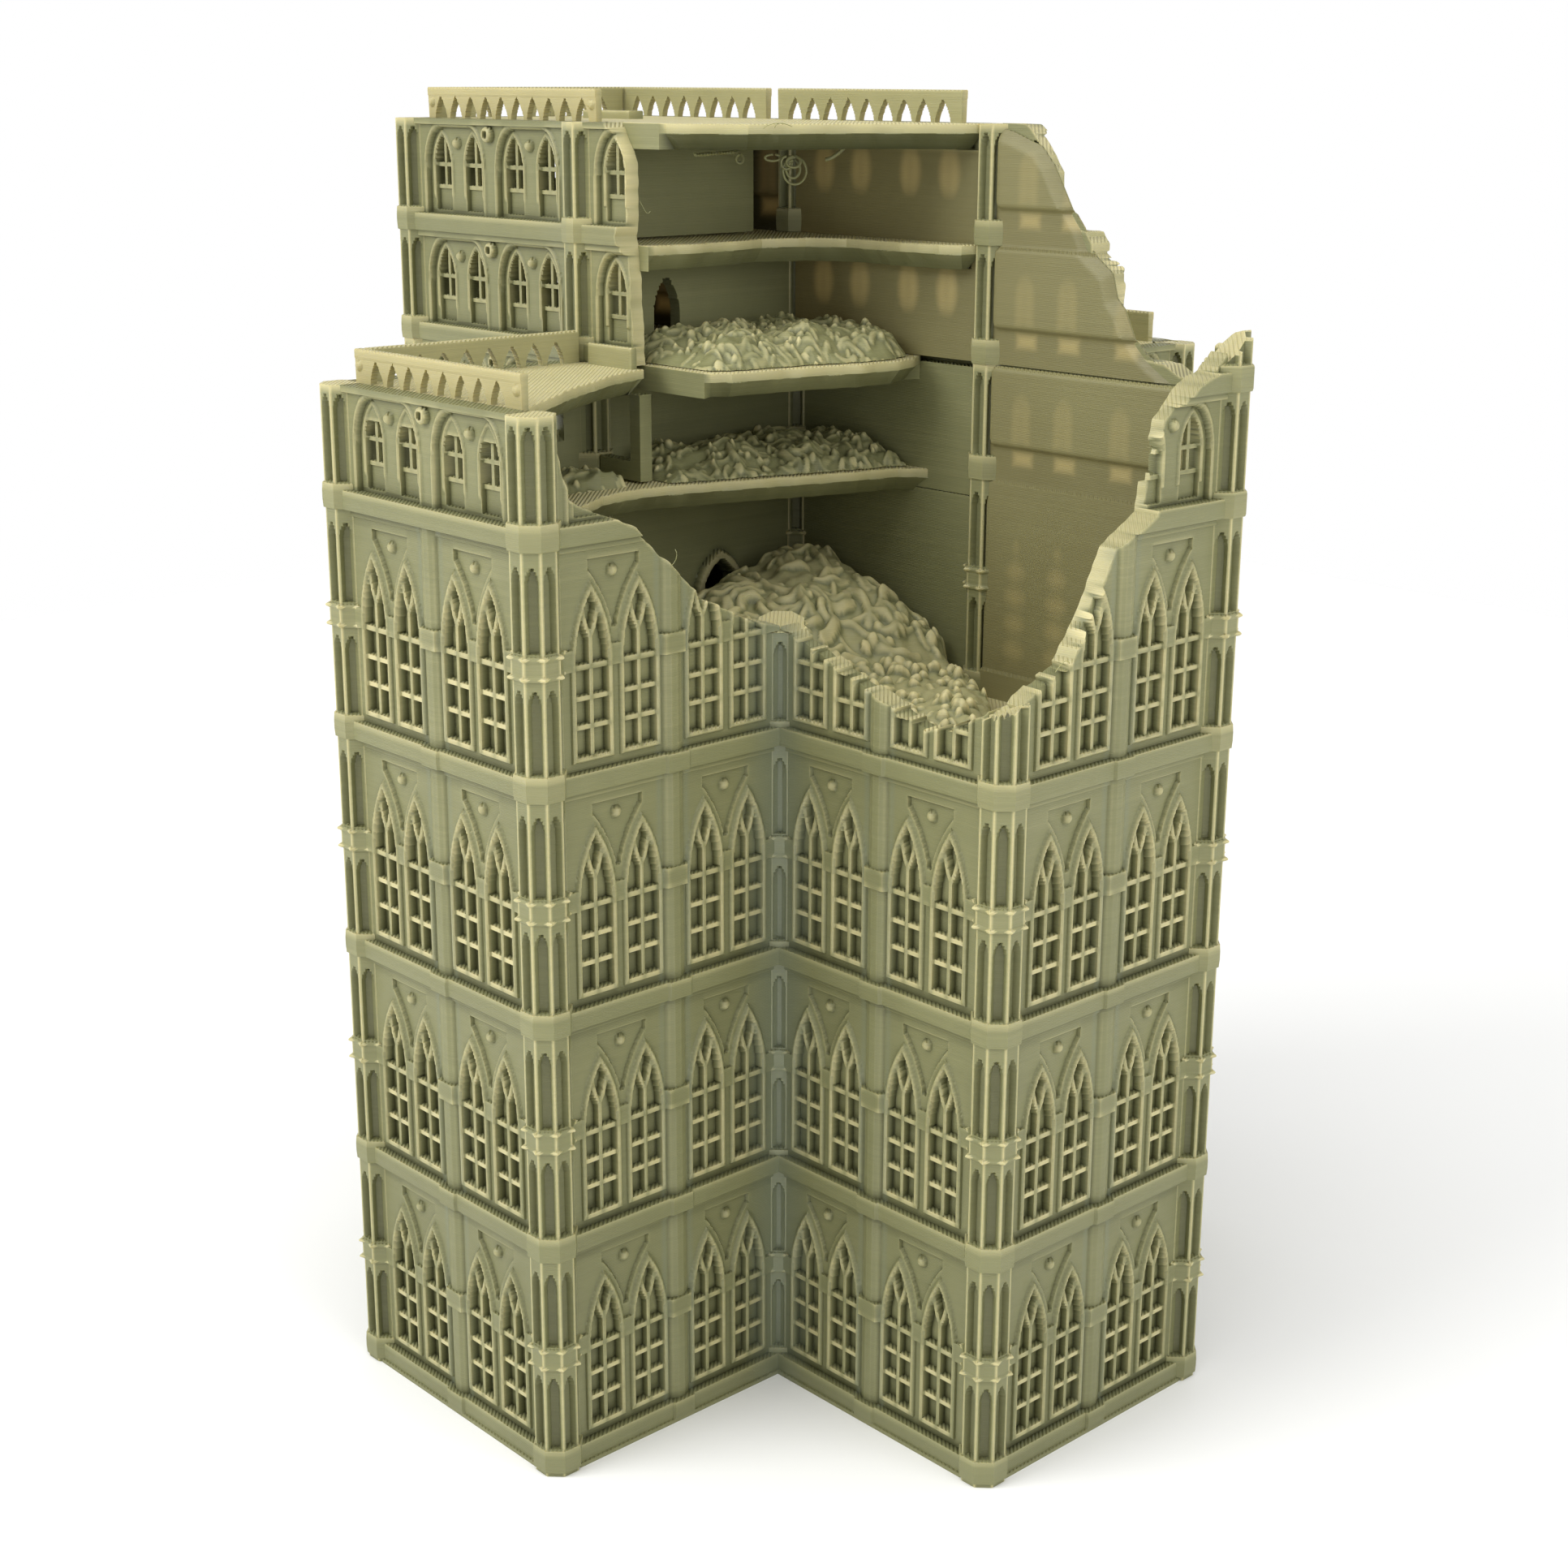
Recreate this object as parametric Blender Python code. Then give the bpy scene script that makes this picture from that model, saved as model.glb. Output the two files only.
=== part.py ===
"""Miniature gothic ruin for the gaming table, in two stacking sections.

The plan is a Greek cross: a square crossing with four square wings.  Every
corner of the plan has an octagonal pillar, and every wing has three straight
walls of two window bays.  The lower section holds four tall storeys and one
short storey; the upper tower, two short storeys over the west wing and the
crossing, lifts straight off it.  The south-east side is broken open.
Lengths below are in millimetres and are scaled to metres as meshes are made.
"""
import math

import bmesh
import bpy
from mathutils import Vector

MM = 0.001

# Plan: pillar axes stand on a grid of half a wing either side of the centre.
HALF_WING = 17.5
ARM_END = 3.0 * HALF_WING
WALL_OUTER = 1.1
WALL_INNER = 1.2
GAP = 0.3

# Heights: four tall storeys, then short ones; a floor is where a band starts.
FOOTING = 0.5
TALL = 27.05
SHORT = 14.0
TALL_STOREYS = 4
GALLERY_FLOOR = FOOTING + TALL * TALL_STOREYS
SPLIT = GALLERY_FLOOR + SHORT
UPPER_FLOOR = SPLIT + SHORT
ROOF = UPPER_FLOOR + SHORT
HALL_FLOOR = FOOTING + TALL * 3
PLATE = 3.0
FLOOR_SLACK = 1.0
STOREY_ROOM = 4.0

# Mouldings.
BAND_HEIGHT = 2.3
BAND_PROUD = 1.0
RING_HEIGHT = 2.9
SHAFT_APOTHEM = 2.45
RING_APOTHEM = 2.75
RING_ROOM = 1.0
PILASTER_HALF = 1.5
PILASTER_PROUD = 0.8

# Windows: offsets along a wall from its middle, and heights above the floor.
TALL_BAY = 7.9
SHORT_BAY = 7.6
LANCET_PITCH = 6.6
TALL_LIGHT_HALF = 2.1
TALL_SILL = 3.9
TALL_SPRING = 14.5
TALL_APEX = 22.0
TALL_RECESS = 0.8
RUIN_MARGIN = 0.5
SHORT_LIGHT_HALF = 1.75
SHORT_SILL = 4.9
SHORT_SPRING = 8.2
SHORT_APEX = 11.9

# Railings.
RAIL_HEIGHT = 3.8
RAIL_THICK = 1.0
RAIL_INSET = 1.5
RAIL_POST = 1.2
RAIL_SLOT_PITCH = 3.2
RAIL_SLOT_HALF = 0.95
RAIL_SLOT_FOOT = 0.5
RAIL_SLOT_KNEE = 1.9
RAIL_SLOT_TOP = 2.8
RAIL_STOP = 14.6

# Partitions stand a little nearer the crossing than the grid line.
PARTITION_FRONT = 1.0
PARTITION_BACK = 0.8

# Floor plates keep this clear of the pillars.
PLATE_CLEAR = 0.55
PLATE_NOTCH = 1.45
PLATE_CORNER = 1.8

WALL_HALF = HALF_WING - RING_APOTHEM - GAP
CUTTER_REACH = 3.0
COMPASS = {"south": (0, -1), "east": (1, 0), "north": (0, 1), "west": (-1, 0)}


def clear_scene():
    """Remove whatever the file holds, so the model starts empty."""
    for old in list(bpy.data.objects):
        bpy.data.objects.remove(old, do_unlink=True)


def make_material(name, colour, roughness):
    """A matt printed plastic, told apart only by its tint."""
    material = bpy.data.materials.new(name)
    material.use_nodes = True
    shader = material.node_tree.nodes["Principled BSDF"]
    shader.inputs["Base Color"].default_value = (*colour, 1.0)
    shader.inputs["Roughness"].default_value = roughness
    shader.inputs["Metallic"].default_value = 0.0
    return material


def new_object(name, bm, material):
    """Turn a bmesh in millimetres into a named object in metres."""
    bmesh.ops.recalc_face_normals(bm, faces=bm.faces)
    bmesh.ops.scale(bm, vec=(MM, MM, MM), verts=bm.verts)
    mesh = bpy.data.meshes.new(name)
    bm.to_mesh(mesh)
    bm.free()
    mesh.materials.append(material)
    obj = bpy.data.objects.new(name, mesh)
    bpy.context.scene.collection.objects.link(obj)
    return obj


def prism(bm, ring, offset):
    """Extrude the closed ring of points by the offset vector."""
    offset = Vector(offset)
    low = [bm.verts.new(Vector(point)) for point in ring]
    high = [bm.verts.new(Vector(point) + offset) for point in ring]
    bm.faces.new(list(reversed(low)))
    bm.faces.new(high)
    count = len(ring)
    for i in range(count):
        j = (i + 1) % count
        bm.faces.new((low[i], low[j], high[j], high[i]))


def plan_prism(name, outline, low, high, material):
    """A vertical prism over a plan outline."""
    bm = bmesh.new()
    prism(bm, [(x, y, low) for x, y in outline], (0, 0, high - low))
    return new_object(name, bm, material)


def cut(target, tool, operation):
    """Apply one exact boolean to the target and remove the tool."""
    modifier = target.modifiers.new(operation, "BOOLEAN")
    modifier.operation = operation
    modifier.solver = "EXACT"
    modifier.object = tool
    graph = bpy.context.evaluated_depsgraph_get()
    result = bpy.data.meshes.new_from_object(target.evaluated_get(graph))
    target.modifiers.clear()
    target.data = result
    bpy.data.objects.remove(tool, do_unlink=True)


class WallFrame:
    """A wall's own axes: along it, outward from it, and up."""

    def __init__(self, centre, outward):
        self.centre = Vector((centre[0], centre[1], 0.0))
        self.outward = Vector((outward[0], outward[1], 0.0))
        self.along = Vector((-outward[1], outward[0], 0.0))

    def point(self, along, outward, height):
        place = self.centre + self.along * along + self.outward * outward
        return place + Vector((0.0, 0.0, height))

    def slab(self, bm, face, inner, outer):
        """Extrude a face outline, given as (along, height), through the wall."""
        ring = [self.point(a, inner, z) for a, z in face]
        prism(bm, ring, self.outward * (outer - inner))


def rectangle(low_a, high_a, low_z, high_z):
    return [(low_a, low_z), (high_a, low_z), (high_a, high_z), (low_a, high_z)]


def lancet(centre, half, sill, spring, apex):
    """A pointed light with one knee in each side of its arch."""
    knee = spring + 0.62 * (apex - spring)
    return [
        (centre - half, sill),
        (centre + half, sill),
        (centre + half, spring),
        (centre + 0.58 * half, knee),
        (centre, apex),
        (centre - 0.58 * half, knee),
        (centre - half, spring),
    ]


def paired_lights(centre, floor):
    """The outline of a tall bay's two lancets, joined below their arches."""
    half = 0.5 * LANCET_PITCH
    edge = half + TALL_LIGHT_HALF
    notch = 0.5 * (half - TALL_LIGHT_HALF)
    return [
        (centre - edge, floor + TALL_SILL),
        (centre + edge, floor + TALL_SILL),
        (centre + edge, floor + TALL_SPRING),
        (centre + half, floor + TALL_APEX),
        (centre + notch, floor + TALL_SPRING),
        (centre - notch, floor + TALL_SPRING),
        (centre - half, floor + TALL_APEX),
        (centre - edge, floor + TALL_SPRING),
    ]


def storey_floors(low, high):
    """The floors, as (height, is_tall), that start between two heights."""
    tall = [(FOOTING + TALL * n, True) for n in range(TALL_STOREYS)]
    short = [(GALLERY_FLOOR + SHORT * n, False) for n in range(3)]
    return [(z, kind) for z, kind in tall + short
            if low - FLOOR_SLACK < z < high - STOREY_ROOM]


def wall(name, frame, low, high, material, ruin=None):
    """One straight wall: slab, string courses, mid pilaster and its windows."""
    bm = bmesh.new()
    frame.slab(bm, rectangle(-WALL_HALF, WALL_HALF, low, high), -WALL_INNER, WALL_OUTER)
    obj = new_object(name, bm, material)
    floors = storey_floors(low, high)
    for index, (floor, _) in enumerate(floors):
        base = low if index == 0 else floor
        top = max(floor, low) + BAND_HEIGHT
        bm = bmesh.new()
        band = rectangle(-WALL_HALF, WALL_HALF, base, top)
        frame.slab(bm, band, 0.0, WALL_OUTER + BAND_PROUD)
        cut(obj, new_object("band", bm, material), "UNION")
    tall_top = min(high, GALLERY_FLOOR)
    if tall_top > low:
        bm = bmesh.new()
        post = rectangle(-PILASTER_HALF, PILASTER_HALF, low + FOOTING, tall_top)
        frame.slab(bm, post, 0.0, WALL_OUTER + PILASTER_PROUD)
        cut(obj, new_object("pilaster", bm, material), "UNION")
    if ruin:
        bm = bmesh.new()
        frame.slab(bm, ruin, -CUTTER_REACH, 2.0 * CUTTER_REACH)
        cut(obj, new_object("ruin", bm, material), "INTERSECT")
    cut_lights(obj, frame, floors, material, ruin)


def cut_lights(obj, frame, floors, material, ruin):
    """Sink the tall storeys' blind windows and pierce the short storeys' lights."""
    bm = bmesh.new()
    for floor, tall in floors:
        for side in (-1, 1):
            if tall:
                light = paired_lights(side * TALL_BAY, floor)
                if light_fits(light, ruin):
                    frame.slab(bm, light, WALL_OUTER - TALL_RECESS,
                               WALL_OUTER + CUTTER_REACH)
                continue
            for hand in (-0.5, 0.5):
                middle = side * SHORT_BAY + hand * LANCET_PITCH
                light = lancet(middle, SHORT_LIGHT_HALF, floor + SHORT_SILL,
                               floor + SHORT_SPRING, floor + SHORT_APEX)
                if light_fits(light, ruin):
                    frame.slab(bm, light, -CUTTER_REACH, WALL_OUTER + CUTTER_REACH)
    cut(obj, new_object("lights", bm, material), "DIFFERENCE")


def light_fits(light, ruin):
    """Whether a window lies inside what the ruin leaves, with a margin to spare."""
    if ruin is None:
        return True
    steps = ((RUIN_MARGIN, 0), (-RUIN_MARGIN, 0), (0, RUIN_MARGIN))
    return all(inside(a + step_a, z + step_z, ruin)
               for a, z in light for step_a, step_z in steps)


def inside(a, z, outline):
    """Even-odd test of a point against an outline."""
    hit = False
    count = len(outline)
    for i in range(count):
        a0, z0 = outline[i]
        a1, z1 = outline[(i + 1) % count]
        if (z0 > z) != (z1 > z) and a < a0 + (z - z0) * (a1 - a0) / (z1 - z0):
            hit = not hit
    return hit


def octagon(centre, apothem):
    """A regular octagon whose flats face the axes and the diagonals."""
    radius = apothem / math.cos(math.pi / 8)
    angles = [math.pi / 8 + math.pi / 4 * n for n in range(8)]
    return [(centre[0] + radius * math.cos(t), centre[1] + radius * math.sin(t))
            for t in angles]


def pillar(name, centre, low, high, material, tip=None):
    """An octagonal pillar whose rings line up with the string courses."""
    levels = [(low, SHAFT_APOTHEM)]
    for floor, _ in storey_floors(low, high):
        base = max(floor, low)
        top = base + RING_HEIGHT
        if top > high - RING_ROOM:
            continue
        if base > levels[-1][0] + RING_ROOM:
            levels.append((base, SHAFT_APOTHEM))
            levels.append((base, RING_APOTHEM))
        else:
            levels[-1] = (levels[-1][0], RING_APOTHEM)
        levels.append((top, RING_APOTHEM))
        levels.append((top, SHAFT_APOTHEM))
    levels.append((high, SHAFT_APOTHEM))
    bm = bmesh.new()
    rings = []
    for height, apothem in levels:
        outline = octagon(centre, apothem)
        rings.append([bm.verts.new((x, y, height)) for x, y in outline])
    bm.faces.new(list(reversed(rings[0])))
    bm.faces.new(rings[-1])
    for lower, upper in zip(rings, rings[1:]):
        for i in range(8):
            j = (i + 1) % 8
            bm.faces.new((lower[i], lower[j], upper[j], upper[i]))
    if tip:
        point, normal = tip
        everything = bm.verts[:] + bm.edges[:] + bm.faces[:]
        result = bmesh.ops.bisect_plane(bm, geom=everything, plane_co=point,
                                        plane_no=normal, clear_outer=True)
        edges = [e for e in result["geom_cut"] if isinstance(e, bmesh.types.BMEdge)]
        bmesh.ops.contextual_create(bm, geom=edges)
    return new_object(name, bm, material)


def turn(point, quarter):
    """Rotate a plan point by quarter turns about the centre."""
    x, y = point
    for _ in range(quarter):
        x, y = -y, x
    return (x, y)


def cross_outline():
    """The inside of the walls, clear of the twelve pillars."""
    inner = HALF_WING - WALL_INNER - GAP
    end = ARM_END - WALL_INNER - GAP
    clear = RING_APOTHEM + PLATE_CLEAR
    flat = PLATE_NOTCH
    near = HALF_WING - clear
    corner = inner - PLATE_CORNER + GAP
    quadrant = [
        (inner, end - PLATE_CORNER),
        (corner, end),
        (-corner, end),
        (-inner, end - PLATE_CORNER),
        (-inner, HALF_WING + clear),
        (-near, HALF_WING + flat),
        (-near, HALF_WING - flat),
        (-(HALF_WING - flat), near),
        (-(HALF_WING + flat), near),
        (-(HALF_WING + clear), inner),
    ]
    return [turn(point, quarter) for quarter in range(4) for point in quadrant]


def plate(name, keep, top, material):
    """A floor plate: the cross outline kept only where the keep outline lies."""
    obj = plan_prism(name, cross_outline(), top - PLATE, top, material)
    if keep:
        tool = plan_prism("keep", keep, top - PLATE - CUTTER_REACH, top + CUTTER_REACH,
                          material)
        cut(obj, tool, "INTERSECT")


def hall_rise(x, y):
    """The hall rubble's depth: deep in the northwest corner, thin to the southeast."""
    deepest = 14.4
    to_south = 0.24 * (HALF_WING - y)
    to_east = 0.62 * max(x + 1.0, 0.0)
    return max(deepest - to_south - to_east, 2.4)


def even_rise(x, y):
    """The upper floors' rubble: a shallow layer with a slight swell."""
    return 3.2 + 0.3 * math.sin(0.45 * x) * math.cos(0.35 * y)


def heap(name, outline, floor, rise, material):
    """A rubble mound: rings of the outline shrinking towards its middle."""
    bm = bmesh.new()
    count = len(outline)
    middle = Vector((sum(p[0] for p in outline) / count,
                     sum(p[1] for p in outline) / count))
    steps = ((1.0, 0.0), (0.96, 0.7), (0.85, 0.95), (0.6, 1.0), (0.3, 1.0))
    rings = []
    for reach, share in steps:
        ring = []
        for x, y in outline:
            place = middle + (Vector((x, y)) - middle) * reach
            lift = rise(place.x, place.y) * share
            ring.append(bm.verts.new((place.x, place.y, floor + lift)))
        rings.append(ring)
    bm.faces.new(list(reversed(rings[0])))
    bm.faces.new(rings[-1])
    for lower, upper in zip(rings, rings[1:]):
        for i in range(count):
            j = (i + 1) % count
            bm.faces.new((lower[i], lower[j], upper[j], upper[i]))
    bmesh.ops.triangulate(bm, faces=bm.faces)
    new_object(name, bm, material)


def railing(name, frame, start, end, base, material):
    """A parapet rail pierced by pointed slots between its balusters."""
    bm = bmesh.new()
    frame.slab(bm, rectangle(start, end, base, base + RAIL_HEIGHT),
               -RAIL_THICK / 2, RAIL_THICK / 2)
    obj = new_object(name, bm, material)
    count = int((end - start - 2.0 * RAIL_POST) / RAIL_SLOT_PITCH)
    first = 0.5 * (start + end) - 0.5 * (count - 1) * RAIL_SLOT_PITCH
    bm = bmesh.new()
    for index in range(count):
        middle = first + index * RAIL_SLOT_PITCH
        slot = [
            (middle - RAIL_SLOT_HALF, base + RAIL_SLOT_FOOT),
            (middle + RAIL_SLOT_HALF, base + RAIL_SLOT_FOOT),
            (middle + 0.6 * RAIL_SLOT_HALF, base + RAIL_SLOT_KNEE),
            (middle, base + RAIL_SLOT_TOP),
            (middle - 0.6 * RAIL_SLOT_HALF, base + RAIL_SLOT_KNEE),
        ]
        frame.slab(bm, slot, -RAIL_THICK, RAIL_THICK)
    cut(obj, new_object("slots", bm, material), "DIFFERENCE")


def inner_wall(name, frame, span, low, high, material, door=None):
    """A plain partition, with at most one doorway."""
    bm = bmesh.new()
    frame.slab(bm, rectangle(*span, low, high), -PARTITION_FRONT, PARTITION_BACK)
    obj = new_object(name, bm, material)
    if door:
        bm = bmesh.new()
        frame.slab(bm, door, -CUTTER_REACH, CUTTER_REACH)
        cut(obj, new_object("door", bm, material), "DIFFERENCE")


def ruin_outlines():
    """What the collapse leaves of the three open walls, as (along, height)."""
    south_east = [(-15, 0), (15, 0), (15, 96), (12.1, 96.6), (4.9, 100.3),
                  (-5.4, 109.7), (-13.2, 113.6), (-14.2, 116.5), (-15, 119)]
    east_south = [(-15, 0), (15, 0), (15, 91.2), (13.8, 90.3), (7.3, 87.6),
                  (-2.8, 90.7), (-14.1, 94.7), (-15, 95)]
    east_end = [(-15, 0), (15, 0), (15, 124.9), (13.7, 124.9), (10.3, 123.9),
                (6.3, 120.3), (4.7, 115.2), (4.3, 110.9), (-1.7, 108.0),
                (-5.2, 100.6), (-8.9, 95.8), (-15, 92.6)]
    return south_east, east_south, east_end


def lower_walls(material):
    """Three walls to each wing, from the ground to the lift-off level."""
    south_east, east_south, east_end = ruin_outlines()
    ruins = {
        "south_wing_east_wall": south_east,
        "east_wing_south_wall": east_south,
        "east_wing_end_wall": east_end,
    }
    for wing, (nx, ny) in COMPASS.items():
        faces = {"end": ((nx * ARM_END, ny * ARM_END), (nx, ny))}
        for facing, (sx, sy) in COMPASS.items():
            if sx * nx + sy * ny == 0:
                centre = (nx * 2 + sx) * HALF_WING, (ny * 2 + sy) * HALF_WING
                faces[facing] = (centre, (sx, sy))
        for facing, (centre, outward) in faces.items():
            name = wing + "_wing_" + facing + "_wall"
            top = SPLIT + 4.0 if name == "east_wing_end_wall" else SPLIT
            wall(name, WallFrame(centre, outward), 0.0, top, material, ruins.get(name))


def lower_pillars(material):
    """Twelve pillars; the two beside the breach are short, one stands proud."""
    names = {}
    for wing, (nx, ny) in COMPASS.items():
        tx, ty = -ny, nx
        for hand, word in ((-1, "right"), (1, "left")):
            place = (nx * ARM_END + hand * tx * HALF_WING,
                     ny * ARM_END + hand * ty * HALF_WING)
            names[wing + "_wing_" + word + "_pillar"] = place
    for sx, sy, word in ((1, -1, "southeast"), (1, 1, "northeast"),
                         (-1, 1, "northwest"), (-1, -1, "southwest")):
        names[word + "_crossing_pillar"] = (sx * HALF_WING, sy * HALF_WING)
    for name, (x, y) in names.items():
        high = SPLIT
        tip = None
        if (x, y) == (ARM_END, -HALF_WING):
            high = 96.0
            tip = ((x, y, 91.6), (-0.25, -0.15, 1.0))
        elif (x, y) == (HALF_WING, -HALF_WING):
            high = 98.0
            tip = ((x, y, 95.9), (0.1, 0.05, 1.0))
        elif (x, y) == (ARM_END, HALF_WING):
            high = 132.0
            tip = ((x, y, 127.0), (0.0, -0.62, 1.0))
        pillar(name, (x, y), 0.0, high, material, tip)


def lower_floors(shell, rubble):
    """The hall and gallery floors, their rubble, terrace and north roof."""
    plate("hall_floor", None, HALL_FLOOR, shell)
    gallery = [(-60, -16.5), (-16.2, -16.5), (-16.2, -60), (15, -60), (13.5, -50.0),
               (4.0, -38.0), (-3.5, -27.0), (-4.5, -19.5), (-2.6, -12.0),
               (-0.6, -5.0), (2.0, 3.0), (4.0, 10.0), (4.8, 14.0), (7.2, 16.2),
               (15.0, 20.0), (16.5, 60), (-16.5, 60), (-16.5, 16.5), (-60, 16.5)]
    plate("gallery_floor", gallery, GALLERY_FLOOR, shell)
    terrace = [(-16.5, -60), (16.5, -60), (14.4, -51.0), (10.3, -46.0), (4.5, -37.5),
               (-2.3, -26.6), (-5.2, -19.2), (-16.5, -19.2)]
    plate("south_terrace", terrace, SPLIT, shell)
    plate("north_roof", [(-16.5, 19.2), (16.5, 19.2), (16.5, 60), (-16.5, 60)],
          SPLIT, shell)
    hall = [(-15.0, -13.0), (-13.0, -15.0), (-3.0, -15.4), (8.0, -15.4), (13.5, -14.6),
            (18.0, -13.4), (29.0, -14.9), (38.0, -12.5), (40.0, -5.0), (35.0, 2.0),
            (28.0, 7.5), (21.0, 12.3), (17.5, 13.8), (14.2, 14.4), (13.0, 15.9),
            (-12.6, 15.9), (-14.2, 14.0), (-15.0, 12.0), (-15.0, 0.0)]
    heap("hall_rubble", hall, HALL_FLOOR + GAP, hall_rise, rubble)
    gallery_heap = [(-15.0, -13.2), (-13.2, -15.6), (-4.4, -15.6), (-3.3, -12.0),
                    (-1.3, -5.0), (1.3, 3.0), (3.3, 10.0), (4.1, 14.0), (5.4, 15.9),
                    (-12.8, 15.9), (-14.2, 14.2), (-15.0, 12.0)]
    heap("gallery_rubble", gallery_heap, GALLERY_FLOOR + GAP, even_rise, rubble)


def lower_partitions(material):
    """Partitions between the crossing and the west and north wings."""
    under = GALLERY_FLOOR - PLATE - GAP
    west = WallFrame((-HALF_WING, 0), (-1, 0))
    north = WallFrame((0, HALF_WING), (0, 1))
    south = WallFrame((0, -HALF_WING), (0, -1))
    full = (-WALL_HALF, WALL_HALF)
    door = lancet(-2.6, 2.9, HALL_FLOOR + 1.0, HALL_FLOOR + 9.0, HALL_FLOOR + 13.6)
    inner_wall("hall_west_partition", west, full, HALL_FLOOR + GAP, under, material, door)
    inner_wall("hall_north_partition", north, full, HALL_FLOOR + GAP, under, material)
    low = GALLERY_FLOOR + GAP
    high = SPLIT - PLATE - GAP
    inner_wall("gallery_west_partition", west, full, low, high, material)
    inner_wall("gallery_north_partition", north, full, low, high, material)
    opening = rectangle(-13.4, -8.6, low + 2.3, high - 0.8)
    inner_wall("gallery_south_partition", south, (-WALL_HALF, -6.7), low, high, material,
               opening)


def lower_rails(material):
    """Parapets of the south terrace and the north roof; flank rails butt end rails."""
    edge = ARM_END - RAIL_INSET
    side = HALF_WING - RAIL_INSET
    corner = side + 0.5 * RAIL_THICK
    butt = edge - 2.0 * HALF_WING - 0.5 * RAIL_THICK - GAP
    base = SPLIT + GAP
    railing("terrace_front_rail", WallFrame((0, -edge), (0, -1)), -corner, RAIL_STOP, base,
            material)
    railing("terrace_side_rail", WallFrame((-side, -2.0 * HALF_WING), (-1, 0)), -RAIL_STOP,
            butt, base, material)
    railing("north_roof_end_rail", WallFrame((0, edge), (0, 1)), -RAIL_STOP, corner, base,
            material)
    railing("north_roof_side_rail", WallFrame((-side, 2.0 * HALF_WING), (-1, 0)), -butt,
            RAIL_STOP, base, material)


def tower_walls(material):
    """Two short storeys over the west wing and crossing, and a broken return."""
    low = SPLIT + GAP
    wall("tower_south_wall", WallFrame((-2 * HALF_WING, -HALF_WING), (0, -1)), low, ROOF,
         material)
    wall("tower_end_wall", WallFrame((-ARM_END, 0), (-1, 0)), low, ROOF, material)
    wall("tower_north_wall", WallFrame((-2 * HALF_WING, HALF_WING), (0, 1)), low, ROOF,
         material)
    wall("crossing_north_wall", WallFrame((0, HALF_WING), (0, 1)), low, ROOF, material)
    stub = [(-15, 100), (-8.2, 100), (-8.3, 127.4), (-8.6, 132.0), (-8.6, 146.0),
            (-10.2, 147.8), (-11.6, 150.8), (-12.0, 160), (-15, 160)]
    wall("crossing_south_wall", WallFrame((0, -HALF_WING), (0, -1)), low, ROOF,
         material, stub)
    profile = [(14.5, 160), (11.4, 160), (11.4, 150.6), (10.1, 149.7), (6.8, 145.7),
               (6.6, 141.6), (4.7, 138.9), (1.6, 139.0), (1.2, 137.2), (-2.2, 134.7),
               (-2.4, 131.1), (-4.5, 126.2), (-5.7, 125.3), (-14.0, 123.7),
               (-14.6, 100), (15, 100), (15, 160)]
    wall("east_return_wall", WallFrame((2 * HALF_WING, HALF_WING), (0, 1)), low, ROOF,
         material, profile)


def tower_parts(shell, rubble, trim):
    """The tower's pillars, floors, rubble and rails."""
    low = SPLIT + GAP
    places = {
        "tower_southwest_pillar": (-ARM_END, -HALF_WING),
        "tower_northwest_pillar": (-ARM_END, HALF_WING),
        "tower_inner_south_pillar": (-HALF_WING, -HALF_WING),
        "tower_inner_north_pillar": (-HALF_WING, HALF_WING),
        "tower_hall_column": (HALF_WING, HALF_WING),
    }
    for name, place in places.items():
        pillar(name, place, low, ROOF, trim)
    lowest = [(-60, -16.0), (-6.0, -16.0), (2.7, -16.0), (4.6, -13.5), (5.4, -8.0),
              (6.3, -2.0), (8.1, 4.0), (8.6, 10.0), (7.4, 14.0), (6.0, 16.0),
              (-60, 16.0)]
    plate("tower_lower_floor", lowest, SPLIT, shell)
    upper = [(-60, -16.0), (-7.4, -16.0), (-6.8, -10.0), (-7.6, -2.0), (-8.8, 3.4),
             (-7.0, 9.0), (-2.5, 12.0), (6.0, 11.8), (15.0, 12.3), (15.0, 16.0),
             (-60, 16.0)]
    plate("tower_upper_floor", upper, UPPER_FLOOR, shell)
    top = [(-60, -16.0), (-8.2, -16.0), (-2.0, -15.0), (3.5, -10.0), (6.4, -3.0),
           (8.0, 3.0), (11.0, 7.5), (15.0, 12.3), (15.0, 16.0), (-60, 16.0)]
    plate("tower_roof", top, ROOF, shell)
    mound = [(-15.0, -13.2), (-13.2, -15.2), (2.0, -15.2), (3.8, -13.0), (4.6, -8.0),
             (5.5, -2.0), (7.2, 4.0), (7.7, 9.8), (6.6, 13.6), (5.2, 15.4),
             (-12.8, 15.4), (-14.2, 14.2), (-15.0, 12.0)]
    heap("tower_rubble", mound, SPLIT + GAP, even_rise, rubble)
    edge = ARM_END - RAIL_INSET
    side = HALF_WING - RAIL_INSET
    base = ROOF + GAP
    reach = edge - 2.0 * HALF_WING
    butt = side - 0.5 * RAIL_THICK - GAP
    railing("tower_south_rail", WallFrame((-2.0 * HALF_WING, -side), (0, -1)), -reach, 18.6,
            base, trim)
    railing("tower_end_rail", WallFrame((-edge, 0), (-1, 0)), -butt, butt, base, trim)
    railing("tower_north_rail", WallFrame((-2.0 * HALF_WING, side), (0, 1)), -13.4, reach,
            base, trim)
    railing("crossing_north_rail", WallFrame((0, side), (0, 1)), -13.0, 19.2, base, trim)


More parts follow.
